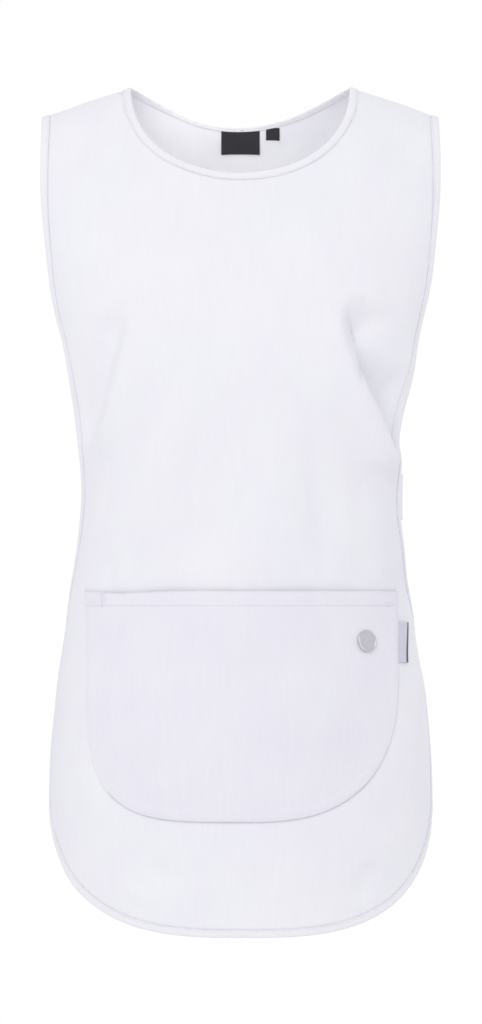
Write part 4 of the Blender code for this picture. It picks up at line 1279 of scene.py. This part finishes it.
pocket_rows = [pocket_row(pocket_seam)]
x = np.linspace(POCKET_EDGE[-1] + POCKET_SEAM_IN, POCKET_EDGE[1] - POCKET_SEAM_IN, HEM_ROW_POINTS)
pocket_rows += [pocket_row(front.seen(x, z)) for z in HEM_STITCH_ROWS]
pocket_sewing = sew("pocket_sewing", pocket_rows, seed=5)
bar_rows = [pocket_row(front.seen(PEN_BAR_X + step, bar_z)) for step in BAR_ROWS]
pen_bar = sew("pen_bar", bar_rows, pitch=0.75, length=1.3, seed=6)


# ---------------- side tabs
# A short strap of doubled twill at each side of the waist, its ends fixed inside the bound edges, so
# that it draws front and back together. It is stitched along both long edges.

TAB_TOP = -348.0
TAB_BOTTOM = -389.0
TAB_UNDERLAP = 0.13  # share of the half panel that the tab's sewn end covers
TAB_LEAVES = 0.985  # where it comes out, just inside the bound edge
TAB_BOW = {1: 0.8, -1: 0.3}  # how far the free span swings out, as a share of its full round
TAB_WALL = 1.1
TAB_SEAT = 2.4  # from the panel's middle to the tab's middle, inside the tape
TAB_SEAM_IN = 2.2
TAB_EDGE_ROWS = (0.0, 0.3, 0.7, 1.4, 1.9, TAB_SEAM_IN, 2.5, 3.0)
TAB_ROWS = 34
TAB_END_POINTS = 16
TAB_SPAN_POINTS = 40
TAB_EDGE_SHARE = 0.4  # the tab's wall thins to this share over TAB_EDGE_RUN at its edges
TAB_EDGE_RUN = 0.9
TAB_DIP_WIDTH = 0.6
TAB_PLAIN_FROM = 4.0


def tab_run(hand, z):
    """Rows of points along a tab at the heights z, from inside the front to inside the back."""
    ends = []
    for panel in (front, back):
        across = hand * np.linspace(1 - TAB_UNDERLAP, TAB_LEAVES, TAB_END_POINTS)
        ends.append(panel.cloth(panel.level_line(across[None, :], z[:, None]), -TAB_SEAT))
    on_front, on_back = ends
    start, end = on_front[:, -1:], on_back[:, -1:]
    bow = np.linalg.norm(end - start, axis=-1, keepdims=True) * TAB_BOW[hand]
    leave = unit(start - on_front[:, -2:-1]) * bow
    arrive = unit(on_back[:, -2:-1] - end) * bow
    t = (np.arange(1, TAB_SPAN_POINTS + 1) / (TAB_SPAN_POINTS + 1))[None, :, None]
    free = smooth_span(t, start, leave, end, arrive)
    return np.concatenate([on_front, free, on_back[:, ::-1]], axis=1)


tab_height = TAB_TOP - TAB_BOTTOM
from_top = np.concatenate([
    TAB_EDGE_ROWS,
    np.linspace(TAB_PLAIN_FROM, tab_height - TAB_PLAIN_FROM, TAB_ROWS),
    tab_height - np.array(TAB_EDGE_ROWS[::-1]),
])
from_edge = np.minimum(from_top, tab_height - from_top)
tab_share = TAB_EDGE_SHARE + (1 - TAB_EDGE_SHARE) * smooth_step(from_edge / TAB_EDGE_RUN)
tab_thickness = TAB_WALL * tab_share - STITCH_DIP * bell(from_edge, TAB_SEAM_IN, TAB_DIP_WIDTH)
for hand, name, node in ((1, "right_tab", "side_tab_right"), (-1, "left_tab", "side_tab_left")):
    middle = tab_run(hand, TAB_TOP - from_top)
    rows = []
    for inset in (TAB_SEAM_IN, tab_height - TAB_SEAM_IN):
        line = tab_run(hand, np.array([TAB_TOP - inset]))[0]
        outward = hand * unit(np.cross(np.gradient(line, axis=0), (0.0, 0.0, 1.0)))
        rows.append((line + outward * (TAB_WALL / 2 - STITCH_SINK), outward))
    maps = {
        "cloth": cloth_map(middle, from_top[:, None]),
        "seam": seam_map(middle, [line for line, _ in rows]),
    }
    tab = wall(name, middle, tab_thickness[:, None], maps, white_twill)
    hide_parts(node)
    tab_sewing = sew(name + "_sewing", rows, seed=8 + hand)


# ---------------- neck labels
# Two black woven satin labels, tucked under the neck tape inside the back and caught at their top
# edges. Both are bare: the large one hangs flat, and the small one sits a little askew beside it.

LABEL_WALL = 0.35
LABEL_TUCK = 2.0  # how much of the cut is hidden in the neck seam
Label = namedtuple("Label", "name left right top bottom tilt curl")
NECK_LABELS = [
    Label("neck_label", -17.3, 17.3, -37.6, -59.4, 0.0, 1.1),
    Label("size_label", 23.0, 35.2, -35.3, -46.6, -0.05, 0.5),
]
LABEL_POINTS = 28
LABEL_SEAT = 0.1
FLAT_SHARE = 0.35  # share of a label's curl that it has at its middle

satin = Finish("black_satin", Sheen_Weight=0.1, Specular_IOR_Level=0.5)
satin_u, satin_v = satin.read("cloth")
float_yarns = satin_u.wave(0.00028) * (0.7 + 0.3 * satin.noise(satin_u, satin_v, (900, 60)))
satin_edge = satin.read("seam")[1].step(0.0012, 0.0018)
satin_cloud = satin.noise(satin_u, satin_v, (120, 90), 2.0)
satin_share = (0.35 * satin_cloud + 0.25 * float_yarns).held()
black_satin = satin.wear(
    satin.blend(satin_share, (0.006, 0.006, 0.008, 1.0), (0.03, 0.03, 0.036, 1.0)),
    0.52 - 0.14 * float_yarns * satin_edge,
    0.00003 * float_yarns + 0.00012 * satin_edge,
)


def border(grid):
    """The outline of a grid of points, as one line."""
    sides = [grid[0, :-1], grid[:-1, -1], grid[-1, :0:-1], grid[:0:-1, 0], grid[:1, 0]]
    return np.concatenate(sides)


for label in NECK_LABELS:
    p = np.linspace(0, 1, LABEL_POINTS)[None, :]
    q = np.linspace(0, 1, LABEL_POINTS)[:, None]
    x = label.left + (label.right - label.left) * p + 0 * q
    z = label.top + (label.bottom - label.top) * q + label.tilt * (x - label.left)
    curl = label.curl * q**2 * (FLAT_SHARE + (1 - FLAT_SHARE) * (2 * p - 1) ** 2)
    off = TWILL / 2 + LABEL_WALL / 2 + LABEL_SEAT + curl
    middle = back.cloth(back.seen(x, z), -off)
    maps = {"cloth": cloth_map(middle, label.top - z), "seam": seam_map(middle, [border(middle)])}
    made = wall(label.name + "_satin", middle, LABEL_WALL, maps, black_satin)
    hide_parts(label.name)
    label_cut = (label.right - label.left, label.top - label.bottom + LABEL_TUCK)
    [size * MM for size in label_cut]


# ---------------- side label
# A folded loop of pale grey ribbon caught in the pocket's right seam, with a dark green stripe woven
# along its fold. It is left bare.

SIDE_LABEL_TOP = -480.6
SIDE_LABEL_BOTTOM = -516.6
SIDE_LABEL_WALL = 0.32
# Down the loop from under the pocket's edge round its fold and back: (x, lift off the front's middle)
SIDE_LABEL_LOOP = [
    (139.6, 0.95), (141.5, 1.05), (145.0, 1.45), (149.0, 1.60), (151.6, 1.62), (152.9, 1.45),
    (153.4, 1.12), (152.9, 0.80), (151.6, 0.64), (149.0, 0.58), (145.0, 0.56), (141.5, 0.52),
    (139.6, 0.50),
]
SIDE_LABEL_ROWS = 37
SIDE_LABEL_COLUMNS = 49
STRIPE_BEGINS = -0.0052  # metres from the fold
STRIPE_ENDS = -0.0006
STRIPE_BLUR = 0.0002

ribbon = Finish("grey_ribbon", Sheen_Weight=0.1, Specular_IOR_Level=0.4)
ribbon_u, ribbon_v = ribbon.read("cloth")
ribs = ribbon_v.wave(0.0006)
stripe = ribbon_u.step(STRIPE_BEGINS, STRIPE_BEGINS + STRIPE_BLUR)
stripe = stripe - ribbon_u.step(STRIPE_ENDS, STRIPE_ENDS + STRIPE_BLUR)
ribbon_cloud = ribbon.noise(ribbon_u, ribbon_v, (400, 300), 2.0)
pale = ribbon.blend(ribbon_cloud, (0.60, 0.60, 0.70, 1.0), (0.70, 0.70, 0.79, 1.0))
deep = ribbon.blend(ribbon_cloud, (0.012, 0.085, 0.08, 1.0), (0.02, 0.12, 0.11, 1.0))
grey_ribbon = ribbon.wear(ribbon.blend(stripe, pale, deep), 0.55 + 0.15 * ribs, 0.00005 * ribs)

loop_way = along(np.array(SIDE_LABEL_LOOP))
fine_way = np.linspace(0, loop_way[-1], SIDE_LABEL_COLUMNS)
loop_x, loop_lift = [np.interp(fine_way, loop_way, row) for row in np.array(SIDE_LABEL_LOOP).T]
z = np.linspace(SIDE_LABEL_TOP, SIDE_LABEL_BOTTOM, SIDE_LABEL_ROWS)
places = front.seen(loop_x[None, :], z[:, None])
side_middle = front.cloth(places, loop_lift[None, :])
side_maps = {
    "cloth": cloth_map(side_middle, SIDE_LABEL_TOP - z[:, None]),
    "seam": np.ones((len(z), len(fine_way), 2)),
}
side_label = wall("side_label_loop", side_middle, SIDE_LABEL_WALL, side_maps, grey_ribbon)
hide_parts("side_label")


# ---------------- badge
# A small turned metal disc with a raised rim, riveted to the pocket below its upper right corner. Its
# face is bare and brushed.

BADGE_X = 112.0
BADGE_Z = -498.0
BADGE_SIDES = 96
# From the middle of its back round the rim to the middle of its face: (radius, height)
BADGE_OUTLINE = [
    (9.3, 0.0), (9.85, 0.25), (10.0, 0.7), (10.0, 1.75), (9.82, 2.2), (9.4, 2.4),
    (8.95, 2.3), (8.7, 2.0), (8.45, 1.84), (8.0, 1.8), (5.0, 1.92), (2.0, 1.99),
]
BADGE_FACE = 2.0
BADGE_SINK = 0.05

brushed = Finish("brushed_metal", Metallic=1.0)
metal_place = brushed.node("ShaderNodeTexCoord", None, None, "Object")
metal_x, _, metal_z = brushed.split(metal_place)
grain = brushed.noise(metal_x, metal_z, (900, 9000), 2.0)
cloud = brushed.noise(metal_x, metal_z, (260, 260), 2.0, 3.0)
metal_share = (0.6 * grain + 0.4 * cloud).held()
brushed_metal = brushed.wear(
    brushed.blend(metal_share, (0.52, 0.52, 0.54, 1.0), (0.78, 0.78, 0.80, 1.0)),
    0.30 + 0.16 * grain,
    0.000006 * grain,
)

badge_place = front.seen(BADGE_X, BADGE_Z)
centre = front.cloth(badge_place, pocket_lift(badge_place, 1.0) - BADGE_SINK)
facing = front.normals(badge_place)
sideways = unit(np.cross(facing, (0.0, 0.0, 1.0)))
upwards = np.cross(sideways, facing)
turn = np.linspace(0, 2 * np.pi, BADGE_SIDES, endpoint=False)
spokes = np.cos(turn)[:, None] * sideways + np.sin(turn)[:, None] * upwards
radius, height = np.array(BADGE_OUTLINE).T[:, :, None, None]
rings = (centre + radius * spokes + height * facing).reshape(-1, 3)
index = np.arange(len(rings)).reshape(-1, BADGE_SIDES)
index = np.concatenate([index, index[:, :1]], axis=1)
faces = quads(index)
for end, ring in ((len(rings), index[0]), (len(rings) + 1, index[-1])):
    faces += [(int(a), int(b), end) for a, b in zip(ring[:-1], ring[1:])]
badge_points = np.vstack([rings, centre, centre + facing * BADGE_FACE])
badge = piece("badge_disc", badge_points, faces, {}, brushed_metal, sharp=60.0)
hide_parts("badge")
